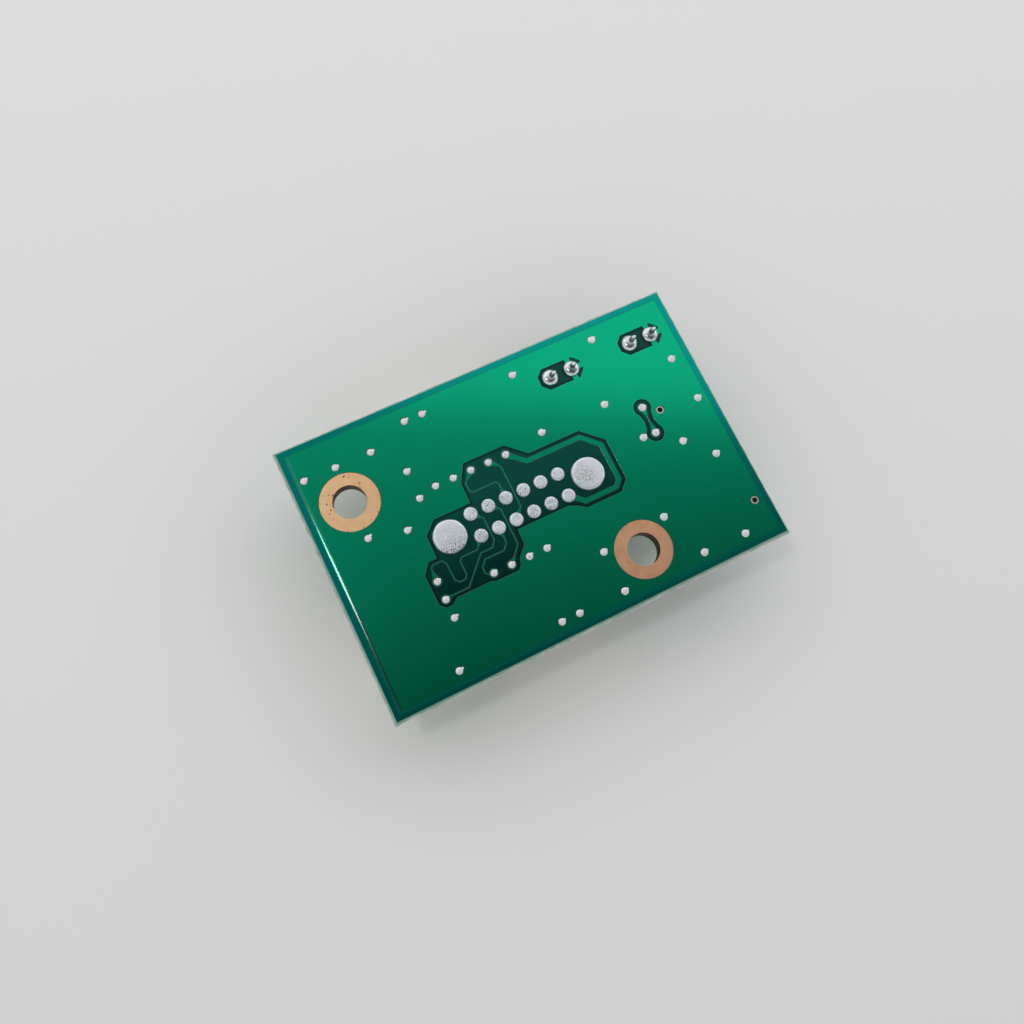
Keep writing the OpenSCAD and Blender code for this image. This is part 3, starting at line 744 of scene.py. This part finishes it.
@dataclass
class SolderSideFilm:
    """Mask on the solder side, with soft shoulders where it steps down from foil to laminate."""

    node: str = "solder_side_mask"
    step: float = 0.02
    drops: tuple[float, float] = (0.026, 0.006)
    stretch_steps: float = 2.5
    left_stretch: float = 8.0
    other_stretch: float = 0.1
    shade_fillet: float = 0.3
    shade_fillet_lift: float = 0.001
    mitre: float = 0.7
    sharpest: float = 0.5
    outline_share: float = 1.9
    hole_play: float = 0.02

    def build(self) -> None:
        """Rounds the film's upper shoulders in two steps and dresses it."""
        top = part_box(self.node)[1].z
        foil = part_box("ground_plane")[1]
        on_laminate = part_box("laminate")[1].z + (top - foil.z)
        mesh = node_copy(self.node)
        level = (top + on_laminate) / 2
        upper = [f for f in mesh.faces if f.normal.z > UPWARD and all(v.co.z > level for v in f.verts)]
        for face in mesh.faces:
            face.smooth = False
        rim: set[BMVert] = set()
        for drop in self.drops:
            ring = bmesh.ops.inset_region(
                mesh, faces=upper, thickness=self.step * MM, use_even_offset=True, use_boundary=True
            )["faces"]
            rim |= {v for f in ring for v in f.verts} - {v for f in upper for v in f.verts}
            bmesh.ops.translate(mesh, verts=list(rim), vec=(0, 0, -drop * MM))
            for face in ring:
                face.smooth = True
            for edge in {e for f in ring for e in f.edges}:
                ways = [f.normal.xy for f in edge.link_faces if f.smooth]
                edge.smooth = len(ways) < 2 or ways[0].angle(ways[1], 0.0) < self.mitre
        for vert in mesh.verts:
            self.widen_edge(vert, foil)
        finish = SolderMask("Green solder mask, solder side", top, (foil.x, foil.y))
        put_piece(mesh, "solder_side_film", [self.node], Slot.SOLDER_MASK, finish, crease=None)
        shade_fillets = self.lay_shade_fillets(foil, on_laminate)
        put_piece(shade_fillets, "solder_side_film_shade_fillets", [self.node], Slot.SOLDER_MASK, finish, crease=None)

    def lay_shade_fillets(self, foil: Vector, floor: float) -> BMesh:
        """Lays flat strips of painted corner shade along the foot of each window's edge.

        Args:
            foil: Highest corner of the ground plane.
            floor: Height of the film on bare laminate.

        Returns:
            Strips along the windows, marked where they meet the edge.
        """
        mesh = node_copy("ground_plane")
        level = foil.z - WELD
        upper = {f for f in mesh.faces if f.normal.z > UPWARD and all(v.co.z > level for v in f.verts)}
        bmesh.ops.delete(mesh, geom=[f for f in mesh.faces if f not in upper], context="FACES")
        # The mark gives the share of painted corner shade, full where a strip meets the window's edge.
        mark = mesh.verts.layers.float.new(SHADE_FILLET)
        rims = self.window_rims(mesh, foil)
        ways = {}
        for edge in rims:
            loop = edge.link_loops[0]
            run = (loop.link_loop_next.vert.co - loop.vert.co).normalized()
            for vert in edge.verts:
                ways.setdefault(vert, []).append(Vector((run.y, -run.x, 0)))
        new = bmesh.ops.extrude_edge_only(mesh, edges=rims)["geom"]
        inner = {v for v in new if isinstance(v, BMVert)}
        for vert in inner:
            rim = next(e.other_vert(vert) for e in vert.link_edges if e.other_vert(vert) not in inner)
            one, two = ways[rim]
            vert.co += self.shade_fillet * MM * (one + two) / max(self.sharpest, 1 + one.dot(two))
            rim[mark] = 1.0
        bmesh.ops.delete(mesh, geom=[f for f in mesh.faces if not inner & set(f.verts)], context="FACES")
        for vert in mesh.verts:
            vert.co.z = floor + self.shade_fillet_lift * MM * (1 + vert[mark])
        for face in mesh.faces:
            face.normal_update()
            if face.normal.z < 0:
                face.normal_flip()
            face.smooth = False
        return mesh

    def window_rims(self, mesh: BMesh, foil: Vector) -> list[BMEdge]:
        """Finds the edges round the windows in the ground plane.

        Args:
            mesh: Upper face of the ground plane.
            foil: Highest corner of the ground plane.

        Returns:
            The edges of the windows, without the round holes and the plane's outline.
        """
        rims = []
        open_edges = {e for e in mesh.edges if e.is_boundary}
        for rim in groups(open_edges, lambda edge: {e for v in edge.verts for e in v.link_edges}):
            low, high = corners([v for e in rim for v in e.verts])
            wide, deep = high.x - low.x, high.y - low.y
            if wide < self.outline_share * foil.x and abs(wide - deep) > self.hole_play * MM:
                rims += rim
        return rims

    def widen_edge(self, vert: BMVert, foil: Vector) -> None:
        """Spreads the shoulder along the ground plane's left edge, and tightens it along the others.

        Args:
            vert: Vertex of the film.
            foil: Highest corner of the ground plane.
        """
        for axis in (0, 1):
            gap = foil[axis] - abs(vert.co[axis])
            if WELD < gap < self.stretch_steps * self.step * MM:
                stretch = self.left_stretch if axis == 0 and vert.co.x < 0 else self.other_stretch
                vert.co[axis] = math.copysign(foil[axis] - gap * stretch, vert.co[axis])


@dataclass
class ComponentSideFilm:
    """Mask on the component side, over one sheet of copper, with printed outlines of the tall parts."""

    node: str = "component_side_mask"
    gap: float = 0.35
    line: float = 0.18
    ink: float = 0.012
    round_steps: int = 56

    def build(self) -> None:
        """Prints the outlines on the film and dresses it."""
        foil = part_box("ground_plane")[1]
        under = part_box(self.node)[0].z
        mesh = node_copy(self.node)
        for face in mesh.faces:
            face.smooth = False
        low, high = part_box("header_housing")
        middle, half = (low + high) / 2, (high - low) / 2 + Vector((self.gap, self.gap, 0)) * MM
        place = Matrix.Translation((middle.x, middle.y, under)) @ Matrix.Diagonal((half.x, half.y, 1, 1))
        made = bmesh.ops.create_grid(mesh, x_segments=1, y_segments=1, size=1, matrix=place)["verts"]
        self.print_rim(mesh, made[0].link_faces[0])
        for number in (1, 2):
            low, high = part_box(f"capacitor_{number}_sleeve")
            middle, radius = (low + high) / 2, (high.x - low.x) / 2 + self.gap * MM
            place = Matrix.Translation((middle.x, middle.y, under))
            made = bmesh.ops.create_circle(
                mesh, cap_ends=True, segments=self.round_steps, radius=radius, matrix=place
            )["verts"]
            self.print_rim(mesh, made[0].link_faces[0])
        # Copper backs the whole film, so all of it counts as lying above the foil's level.
        finish = SolderMask("Green solder mask, component side", under - MM, (foil.x, foil.y))
        finishes = finish, LEGEND_INK
        put_piece(mesh, "component_side_film", [self.node], Slot.SOLDER_MASK, *finishes, crease=None)

    def print_rim(self, mesh: BMesh, face: BMFace) -> None:
        """Turns a flat shape on the film into a printed line along its rim.

        Args:
            mesh: Mesh of the film.
            face: The shape.
        """
        rim = bmesh.ops.inset_region(
            mesh, faces=[face], thickness=self.line * MM, use_even_offset=True, use_boundary=True
        )["faces"]
        bmesh.ops.delete(mesh, geom=[face], context="FACES")
        raised = bmesh.ops.extrude_face_region(mesh, geom=rim)["geom"]
        verts = [v for v in raised if isinstance(v, BMVert)]
        bmesh.ops.translate(mesh, verts=verts, vec=(0, 0, -self.ink * MM))
        faces = list({f for v in verts for f in v.link_faces})
        bmesh.ops.recalc_face_normals(mesh, faces=faces)
        for part in faces:
            part.material_index = 1


@dataclass
class GlassBoard:
    """Laminate, scored along all four sides and snapped out of its panel."""

    node: str = "laminate"
    score: float = 1.0
    web_below: float = 0.4
    segment: float = 0.3
    tear: float = 0.12
    tear_size: float = 0.7
    seed: float = 3.0

    def build(self) -> None:
        """Splits the edges into short segments and tears them inwards."""
        low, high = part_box(self.node)
        mesh = node_copy(self.node)
        bmesh.ops.dissolve_limit(mesh, angle_limit=FLAT_ANGLE, verts=mesh.verts, edges=mesh.edges)
        score = self.score * MM
        for axis, across in ((0, 1), (1, 0)):
            span = high[axis] - low[axis]
            long = [
                e
                for e in mesh.edges
                if abs(e.verts[0].co[axis] - e.verts[1].co[axis]) > span - 2 * score
                and all(high[across] - abs(v.co[across]) < score for v in e.verts)
            ]
            cuts = int(span / (self.segment * MM))
            bmesh.ops.subdivide_edges(mesh, edges=long, cuts=cuts, use_grid_fill=True)
        for vert in mesh.verts:
            self.tear_vert(vert, high)
        finish = GlassEpoxy("Snapped glass-epoxy laminate", high.z - self.web_below * MM, high.z)
        put_piece(mesh, "glass_board", [self.node], Slot.LAMINATE, finish, crease=25)

    def tear_vert(self, vert: BMVert, high: Vector) -> None:
        """Moves a vertex of the snapped web inwards.

        Args:
            vert: Vertex of the laminate.
            high: Highest corner of the laminate.
        """
        for axis in (0, 1):
            if high[axis] - abs(vert.co[axis]) < WELD:
                point = vert.co / (self.tear_size * MM) + Vector((self.seed, 0, vert.co.z / MM * self.seed))
                depth = self.tear * MM * (0.5 + 0.5 * noise.noise(point))
                vert.co[axis] -= math.copysign(depth, vert.co[axis])


@dataclass
class CopperLayers:
    """Foil under the film and the bare rings of the mounting holes."""

    rounding: float = 0.04
    wall_tilt: float = 0.2

    def build(self) -> None:
        """Dresses the foil and makes the rings, whose hole walls are painted darker as shade."""
        for node in ("ground_plane", "signal_tracks", "component_side_lands"):
            dress_node(node, FOIL)
        for node, finish in (("copper_ring_left", LEFT_COPPER), ("copper_ring_right", RIGHT_COPPER)):
            mesh = rounded_copy(node, self.rounding)
            for face in mesh.faces:
                face.material_index = int(abs(face.normal.z) < self.wall_tilt)
            put_piece(mesh, f"{node}_plated", [node], Slot.BARE_COPPER, finish, SHADED_HOLE_COPPER)


@dataclass
class Vias:
    """Vias, most of them closed by a flat dot of solder with a small drawn-out tail, two of them open.

    The dots spread wider on the right, where the board left the solder, and their tails are shorter there.
    """

    steps: int = 48
    rings: int = 6
    fullness: float = 5.0
    cover: float = 0.005
    spread: float = 0.06
    middle_share: float = 0.33
    spread_over: float = 15.0
    tail: float = 0.12
    sunk_tail: float = 0.03
    tail_mean: float = 0.8
    tail_loss: float = 0.7
    tail_vary: float = 9.0
    tail_rise: float = 0.02
    tail_way: float = 16.0
    way_play: float = 14.0
    way_vary: float = 4.0
    tail_width: float = 22.0
    tail_from: float = 0.8
    blunt: float = 2.0
    ring_rounding: float = 0.03
    wall_tilt: float = 0.3

    def build(self) -> None:
        """Makes the dots and the open rings."""
        self.dots("stitching_vias", self.tail)
        self.dots("signal_vias", self.sunk_tail)
        self.open_rings("open_vias")

    def dots(self, node: str, tail: float) -> None:
        """Makes a dot on each filled via.

        Args:
            node: Name of the CAD node.
            tail: Usual length of a dot's tail in millimetres.
        """
        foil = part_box("ground_plane")[1].z
        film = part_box("solder_side_mask")[1].z
        mesh = bmesh.new()
        for low, high in islands(node):
            middle = (low + high) / 2
            wide = min(max(self.middle_share + middle.x / (self.spread_over * MM), 0.0), 1.0)
            radius = (high.x - low.x) / 2 + (self.cover + self.spread * wide) * MM
            way = self.tail_way + self.way_play * noise.noise(middle / (self.way_vary * MM))
            length = self.tail_mean + noise.noise(middle / (self.tail_vary * MM))
            reach = radius + tail * (1 - self.tail_loss * wide) * MM * length
            profile = cap_profile(radius, high.z, self.fullness, self.rings)
            for vert in turn_profile(mesh, middle, profile, self.steps):
                out = outward(vert, middle)
                off = abs(math.degrees(math.atan2(out.y, out.x)) - way)
                if out.length > self.tail_from * radius and off < self.tail_width:
                    share = min(1.0, self.blunt * (1 - off / self.tail_width))
                    vert.co += out.normalized() * (reach - out.length) * share
                    if vert.co.z > foil:
                        vert.co.z = max(vert.co.z, film + self.tail_rise * MM * share)
        put_piece(mesh, f"{node}_dots", [node], Slot.VIA_SOLDER, DOT_SOLDER, crease=60)

    def open_rings(self, node: str) -> None:
        """Makes the tinned rings of the open vias, whose walls are painted black as shade.

        Args:
            node: Name of the CAD node.
        """
        mesh = rounded_copy(node, self.ring_rounding)
        for face in mesh.faces:
            face.material_index = int(abs(face.normal.z) < self.wall_tilt)
        put_piece(mesh, "open_via_rings", [node], Slot.VIA_SOLDER, RING_TIN, SHADED_VIA_WALL)


@dataclass
class HeaderJoints:
    """Solder on the header's pins and posts."""

    steps: int = 44
    rings: int = 12
    pin_fullness: float = 12.0
    post_fullness: float = 36.0
    cover: float = 0.036
    lump: float = 0.05
    lump_size: float = 0.9
    waver: float = 0.03

    def build(self) -> None:
        """Makes a lumpy cap on each pin and post."""
        for node in ("pin_joints_far_row", "pin_joints_near_row"):
            self.caps(node, JOINT_SOLDER, self.pin_fullness)
        self.caps("post_joint_left", LEFT_POST_SOLDER, self.post_fullness)
        self.caps("post_joint_right", RIGHT_POST_SOLDER, self.post_fullness)

    def caps(self, node: str, finish: Finish, fullness: float) -> None:
        """Makes the caps of one CAD node.

        Args:
            node: Name of the CAD node.
            finish: Surface of the solder.
            fullness: Power of the cap's curve.
        """
        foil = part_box("ground_plane")[1].z
        size = self.lump_size * MM
        mesh = bmesh.new()
        for low, high in islands(node):
            middle, radius = (low + high) / 2, (high.x - low.x) / 2 + self.cover * MM
            profile = cap_profile(radius, high.z, fullness, self.rings)
            for vert in turn_profile(mesh, middle, profile, self.steps):
                lift = max(0.0, vert.co.z - foil) / (high.z - foil)
                dent = 0.5 + 0.5 * noise.noise(vert.co / size)
                vert.co.z -= self.lump * MM * lift * dent
                flat = Vector((vert.co.x, vert.co.y, 0))
                vert.co += outward(vert, middle) * self.waver * noise.noise(flat / size)
        put_piece(mesh, f"{node}_caps", [node], Slot.SOLDER, finish, crease=60)


@dataclass
class Capacitor:
    """Radial capacitor under the board, with its cut leads and their solder domes on top."""

    number: int
    left_bend: tuple[float, float]
    right_bend: tuple[float, float]
    steps: int = 32
    can_rounding: float = 0.12
    end_rim: float = 0.6
    score: float = 0.12
    score_share: float = 0.36
    sleeve_rounding: float = 0.05
    stripe: float = 0.88
    wall_tilt: float = 0.3
    seal_rounding: float = 0.08
    groove_below: float = 1.5
    groove_half: float = 0.55
    groove_depth: float = 0.28
    groove_rings: int = 4
    lead_rings: int = 6
    nip: float = 0.05
    nip_share: float = 0.85
    pinch: float = 0.45
    pinch_over: float = 0.4
    pinch_side: float = 0.4
    slant: float = 0.3
    cut_over: float = 0.3
    cut_tilt: float = 0.6
    rings: int = 10
    cover: float = 0.12
    neck: float = 0.34
    neck_share: float = 0.86
    belly: float = 0.62
    waver: float = 0.05
    waver_size: float = 0.7

    def build(self) -> None:
        """Makes the can, the sleeve, the seal, the leads and the domes."""
        prefix = f"capacitor_{self.number}"
        self.can(f"{prefix}_can")
        self.sleeve(f"{prefix}_sleeve")
        put_rounded(f"{prefix}_seal", f"{prefix}_rubber_seal", self.seal_rounding, Slot.SEAL, SEAL_RUBBER)
        self.lead(f"{prefix}_left_lead", self.left_bend)
        self.lead(f"{prefix}_right_lead", self.right_bend)
        self.domes(f"{prefix}_joints")

    def can(self, node: str) -> None:
        """Makes the drawn can, with the crossed score of its vent in the closed end.

        Args:
            node: Name of the CAD node.
        """
        low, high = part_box(node)
        middle = (low + high) / 2
        mesh = rounded_copy(node, self.can_rounding)
        ends = [f for f in mesh.faces if f.normal.z < DOWNWARD and f.calc_center_median().z < low.z + WELD]
        bmesh.ops.inset_region(mesh, faces=ends, thickness=self.end_rim * MM, use_even_offset=True)
        for plane in (Vector((1, 0, 0)), Vector((0, 1, 0))):
            edges = {e for f in ends for e in f.edges}
            verts = {v for f in ends for v in f.verts}
            cut = bmesh.ops.bisect_plane(
                mesh, geom=[*ends, *edges, *verts], dist=WELD, plane_co=middle, plane_no=plane
            )["geom"]
            ends = [f for f in cut if isinstance(f, BMFace)]
        inner = {e for f in ends for e in f.edges if all(link in ends for link in e.link_faces)}
        round_edges(mesh, list(inner), self.score)
        reach = self.score_share * (high.x - low.x)
        for vert in mesh.verts:
            near, far = sorted((abs(vert.co.x - middle.x), abs(vert.co.y - middle.y)))
            if vert.co.z < low.z + WELD and near < WELD and far < reach:
                vert.co.z += self.score * MM
        self.roll_groove(mesh, middle)
        put_piece(mesh, f"{node}_drawn", [node], Slot.CAN, CAN_ALUMINIUM, crease=25)

    def sleeve(self, node: str) -> None:
        """Makes the shrunk sleeve, with the pale stripe that marks one lead.

        Args:
            node: Name of the CAD node.
        """
        low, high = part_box(node)
        middle, radius = (low + high) / 2, (high.x - low.x) / 2
        mesh = rounded_copy(node, self.sleeve_rounding)
        for face in mesh.faces:
            out = (face.calc_center_median() - middle) / radius
            face.material_index = int(out.x < -self.stripe and abs(face.normal.z) < self.wall_tilt)
        self.roll_groove(mesh, middle)
        put_piece(mesh, f"{node}_shrunk", [node], Slot.SLEEVE, SLEEVE_PVC, STRIPE_INK)

    def roll_groove(self, mesh: BMesh, middle: Vector) -> None:
        """Rolls in the groove that holds the seal, near the board.

        Args:
            mesh: Mesh of the can or the sleeve.
            middle: A point of the axis.
        """
        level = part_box(f"capacitor_{self.number}_sleeve")[1].z - self.groove_below * MM
        for i in range(-self.groove_rings, self.groove_rings + 1):
            cut = (0, 0, level + self.groove_half * i / self.groove_rings * MM)
            geom = [*mesh.verts, *mesh.edges, *mesh.faces]
            bmesh.ops.bisect_plane(mesh, geom=geom, dist=WELD, plane_co=cut, plane_no=(0, 0, 1))
        for vert in mesh.verts:
            off = abs(vert.co.z - level) / (self.groove_half * MM)
            if off < 1:
                depth = self.groove_depth * MM * (0.5 + 0.5 * math.cos(math.pi * off))
                vert.co -= outward(vert, middle).normalized() * depth

    def lead(self, node: str, bend: tuple[float, float]) -> None:
        """Makes a lead with a pinched, slanted cut tip that leans a little.

        Args:
            node: Name of the CAD node.
            bend: How far the tip leans along X and Y, in millimetres.
        """
        low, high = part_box(node)
        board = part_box("laminate")[1].z
        middle, radius = (low + high) / 2, (high.x - low.x) / 2
        nip = self.nip * MM
        shaft = high.z - nip - board
        heights = [high.z - nip - i * shaft / self.lead_rings for i in range(self.lead_rings + 1)]
        side = [(radius, height) for height in (*heights, low.z)]
        profile = [(0.0, high.z), (radius * self.nip_share, high.z), *side, (0.0, low.z)]
        mesh = bmesh.new()
        for vert in turn_profile(mesh, middle, profile, self.steps):
            rise = max(0.0, vert.co.z - board) / (high.z - board)
            pinch = self.pinch * max(0.0, 1 - (high.z - vert.co.z) / (self.pinch_over * MM))
            vert.co.y = middle.y + (vert.co.y - middle.y) * (1 - pinch)
            vert.co.x = middle.x + (vert.co.x - middle.x) * (1 - self.pinch_side * pinch)
            if vert.co.z > high.z - 2 * nip:
                vert.co.z -= self.slant * (vert.co.y - middle.y + radius)
            vert.co.x += bend[0] * MM * rise**2
            vert.co.y += bend[1] * MM * rise**2
        # Top-facing faces of the cut take the lighter tin as painted highlight, the rest the darker tin as
        # painted shade.
        tip = high.z - self.cut_over * MM
        for face in mesh.faces:
            is_cut = face.calc_center_median().z > tip and face.normal.z > self.cut_tilt
            face.material_index = int(is_cut)
        put_piece(mesh, f"{node}_wire", [node], Slot.LEAD_WIRE, WIRE_SIDE_SHADED, WIRE_TIP_HIGHLIT, crease=40)

    def domes(self, node: str) -> None:
        """Makes the full, shiny solder domes round the leads.

        Args:
            node: Name of the CAD node.
        """
        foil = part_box("ground_plane")[1].z
        foot = foil - SOLDER_ROOT
        neck = self.neck * MM
        turns = [i / self.rings * math.pi / 2 for i in range(self.rings + 1)]
        mesh = bmesh.new()
        for low, high in islands(node):
            middle, radius = (low + high) / 2, (high.x - low.x) / 2 + self.cover * MM
            bulge, rise = radius - neck, self.belly * (high.z - foil)
            belly = [(neck + bulge * math.sin(turn), foil + rise * math.cos(turn)) for turn in turns]
            profile = [(0.0, high.z), (neck * self.neck_share, high.z), *belly, (radius, foot), (0.0, foot)]
            for vert in turn_profile(mesh, middle, profile, self.steps):
                waver = self.waver * noise.noise(vert.co / (self.waver_size * MM))
                vert.co += outward(vert, middle) * waver
        put_piece(mesh, f"{node}_domes", [node], Slot.SOLDER, DOME_SOLDER, crease=60)


@dataclass
class Header:
    """Shrouded two-row header under the board."""

    pins: int = 12
    shroud_rounding: float = 0.15
    pin_rounding: float = 0.1
    post_rounding: float = 0.15

    def build(self) -> None:
        """Makes the shroud, the pins and the posts."""
        radius = self.shroud_rounding
        put_rounded("header_housing", "header_shroud", radius, Slot.HEADER_PLASTIC, HEADER_NYLON)
        for number in range(1, self.pins + 1):
            node = f"header_pin_{number}"
            put_rounded(node, f"{node}_blade", self.pin_rounding, Slot.PIN_PLATING, PIN_TIN)
        for node in ("header_post_left", "header_post_right"):
            put_rounded(node, f"{node}_peg", self.post_rounding, Slot.POST_PLATING, POST_TIN)


@dataclass
class EdgeConnector:
    """Side-entry connector under an edge of the board."""

    ways: str

    def build(self) -> None:
        """Makes the shell, the contacts and the hold-down tabs."""
        for part, name, radius, slot, finish in (
            ("housing", "shell", 0.12, Slot.SOCKET_PLASTIC, SOCKET_NYLON),
            ("contacts", "blades", 0.06, Slot.CONTACT_PLATING, CONTACT_TIN),
            ("tabs", "straps", 0.05, Slot.CONTACT_PLATING, CONTACT_TIN),
        ):
            put_rounded(f"{self.ways}_way_{part}", f"{self.ways}_way_{name}", radius, slot, finish)


@dataclass
class Studio:
    """Pale floor, soft light from the far side, and the photograph's camera, with lengths in metres."""

    floor_size: float = 3.0
    floor_tone: str = "e6e7e6"
    floor_roughness: float = 0.8
    far: tuple[float, float] = (0.447, 0.894)
    panel_height: float = 0.3
    panel_from: float = 0.116
    panel_to: float = 0.55
    panel_width: float = 1.1
    panel_level: float = 0.7
    lamp_way: tuple[float, float, float] = (-0.271, 0.182, 0.945)
    lamp_reach: float = 0.35
    lamp_size: tuple[float, float] = (0.04, 0.052)
    lamp_level: float = 18.0
    sky_way: tuple[float, float] = (0.2, 0.98)
    sky_limits: tuple[float, float] = (0.03, 0.3)
    sky_levels: tuple[float, float] = (0.08, 0.47)
    horizon_limits: tuple[float, float] = (0.55, 0.85)
    horizon_level: float = 0.97
    lens: float = 32.55
    sensor: float = 36.0
    clip_start: float = 0.005
    camera_mm: tuple[float, float, float] = (-19.97, -16.64, 91.66)
    aim_mm: tuple[float, float] = (-3.09, -0.765)
    roll: float = 21.18

    def build(self) -> None:
        """Makes the floor, the lights, the world and the camera."""
        self.floor()
        self.panel()
        self.lamp()
        self.world()
        self.camera()

    def floor(self) -> None:
        """Lays a pale floor under the object."""
        mesh = bmesh.new()
        bmesh.ops.create_grid(mesh, x_segments=1, y_segments=1, size=self.floor_size / 2)
        data = bpy.data.meshes.new("floor")
        mesh.to_mesh(data)
        mesh.free()
        material = bpy.data.materials.new("Pale matt floor")
        material.use_nodes = True
        shader = material.node_tree.nodes["Principled BSDF"]
        shader.inputs["Base Color"].default_value = linear(self.floor_tone)
        shader.inputs["Roughness"].default_value = self.floor_roughness
        data.materials.append(material)
        floor = add_object("floor", data)

    def hang(self, name: str, size: tuple[float, float], level: float) -> bpy.types.Object:
        """Adds a rectangular area light.

        Args:
            name: Name of the light.
            size: Its two sides.
            level: Radiance of its face.

        Returns:
            The light, still at the origin.
        """
        light = bpy.data.lights.new(name, "AREA")
        light.shape = "RECTANGLE"
        light.size, light.size_y = size
        light.energy = level * math.pi * size[0] * size[1]
        return add_object(name, light)

    def panel(self) -> None:
        """Hangs a large soft panel beyond the far side of the board."""
        depth = self.panel_to - self.panel_from
        panel = self.hang("far_panel", (self.panel_width, depth), self.panel_level)
        reach = self.panel_from + depth / 2
        panel.location = (self.far[0] * reach, self.far[1] * reach, self.panel_height)
        panel.rotation_euler = (0, 0, math.atan2(-self.far[0], self.far[1]))

    def lamp(self) -> None:
        """Hangs a small lamp on the left, which glints on the shoulders of the foil."""
        lamp = self.hang("left_lamp", self.lamp_size, self.lamp_level)
        low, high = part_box("ground_plane")
        way = Vector(self.lamp_way)
        lamp.location = Vector((low.x, 0, high.z)) + way * self.lamp_reach
        lamp.rotation_euler = way.to_track_quat("Z", "Y").to_euler()

    def world(self) -> None:
        """Makes a pale surround that is dim overhead, where the camera leans over the board."""
        world = bpy.data.worlds.new("studio")
        bpy.context.scene.world = world
        world.use_nodes = True
        tree = world.node_tree
        tree.nodes.clear()
        way = add_node(tree, "TexCoord", out="Generated")
        sky = (*self.sky_way, 0.0)
        far = add_node(tree, "VectorMath", {0: way, 1: sky}, "Value", operation="DOT_PRODUCT")
        limits = {"From Min": self.sky_limits[0], "From Max": self.sky_limits[1]}
        levels = {"To Min": self.sky_levels[0], "To Max": self.sky_levels[1]}
        overhead = add_node(tree, "MapRange", {"Value": far, **limits, **levels})
        rise = add_node(tree, "SeparateXYZ", {"Vector": way}, "Z")
        limits = {"From Min": self.horizon_limits[0], "From Max": self.horizon_limits[1]}
        share = add_node(tree, "MapRange", {"Value": rise, **limits})
        level = add_node(tree, "Mix", {0: share, 2: self.horizon_level, 3: overhead}, data_type="FLOAT")
        back = add_node(tree, "Background", {"Color": (1.0, 1.0, 1.0, 1.0), "Strength": level})
        add_node(tree, "OutputWorld", {"Surface": back})

    def camera(self) -> None:
        """Sets the camera that was solved from the board's corners and pads."""
        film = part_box("solder_side_mask")[1].z
        data = bpy.data.cameras.new("photograph")
        data.lens = self.lens
        data.sensor_width = self.sensor
        data.clip_start = self.clip_start
        camera = add_object("photograph", data)
        eye = Vector(self.camera_mm) * MM + Vector((0, 0, film))
        aim = Vector((self.aim_mm[0] * MM, self.aim_mm[1] * MM, film))
        turn = (aim - eye).to_track_quat("-Z", "Y").to_matrix().to_4x4()
        roll = Matrix.Rotation(math.radians(self.roll), 4, "Z")
        camera.matrix_world = Matrix.Translation(eye) @ turn @ roll
        bpy.context.scene.camera = camera


def main() -> None:
    """Builds the board and its studio."""
    logging.basicConfig(level=logging.INFO, format="%(message)s")
    bpy.context.scene.view_settings.view_transform = "Standard"
    pieces = [
        SolderSideFilm(),
        ComponentSideFilm(),
        GlassBoard(),
        CopperLayers(),
        Vias(),
        HeaderJoints(),
        Capacitor(1, left_bend=(0.27, 0.02), right_bend=(0.08, 0.05)),
        Capacitor(2, left_bend=(0.32, 0.12), right_bend=(0.2, 0.1)),
        Header(),
        EdgeConnector("five"),
        EdgeConnector("four"),
        EdgeConnector("three"),
        Studio(),
    ]
    for piece in pieces:
        piece.build()


if __name__ == "__main__":
    main()
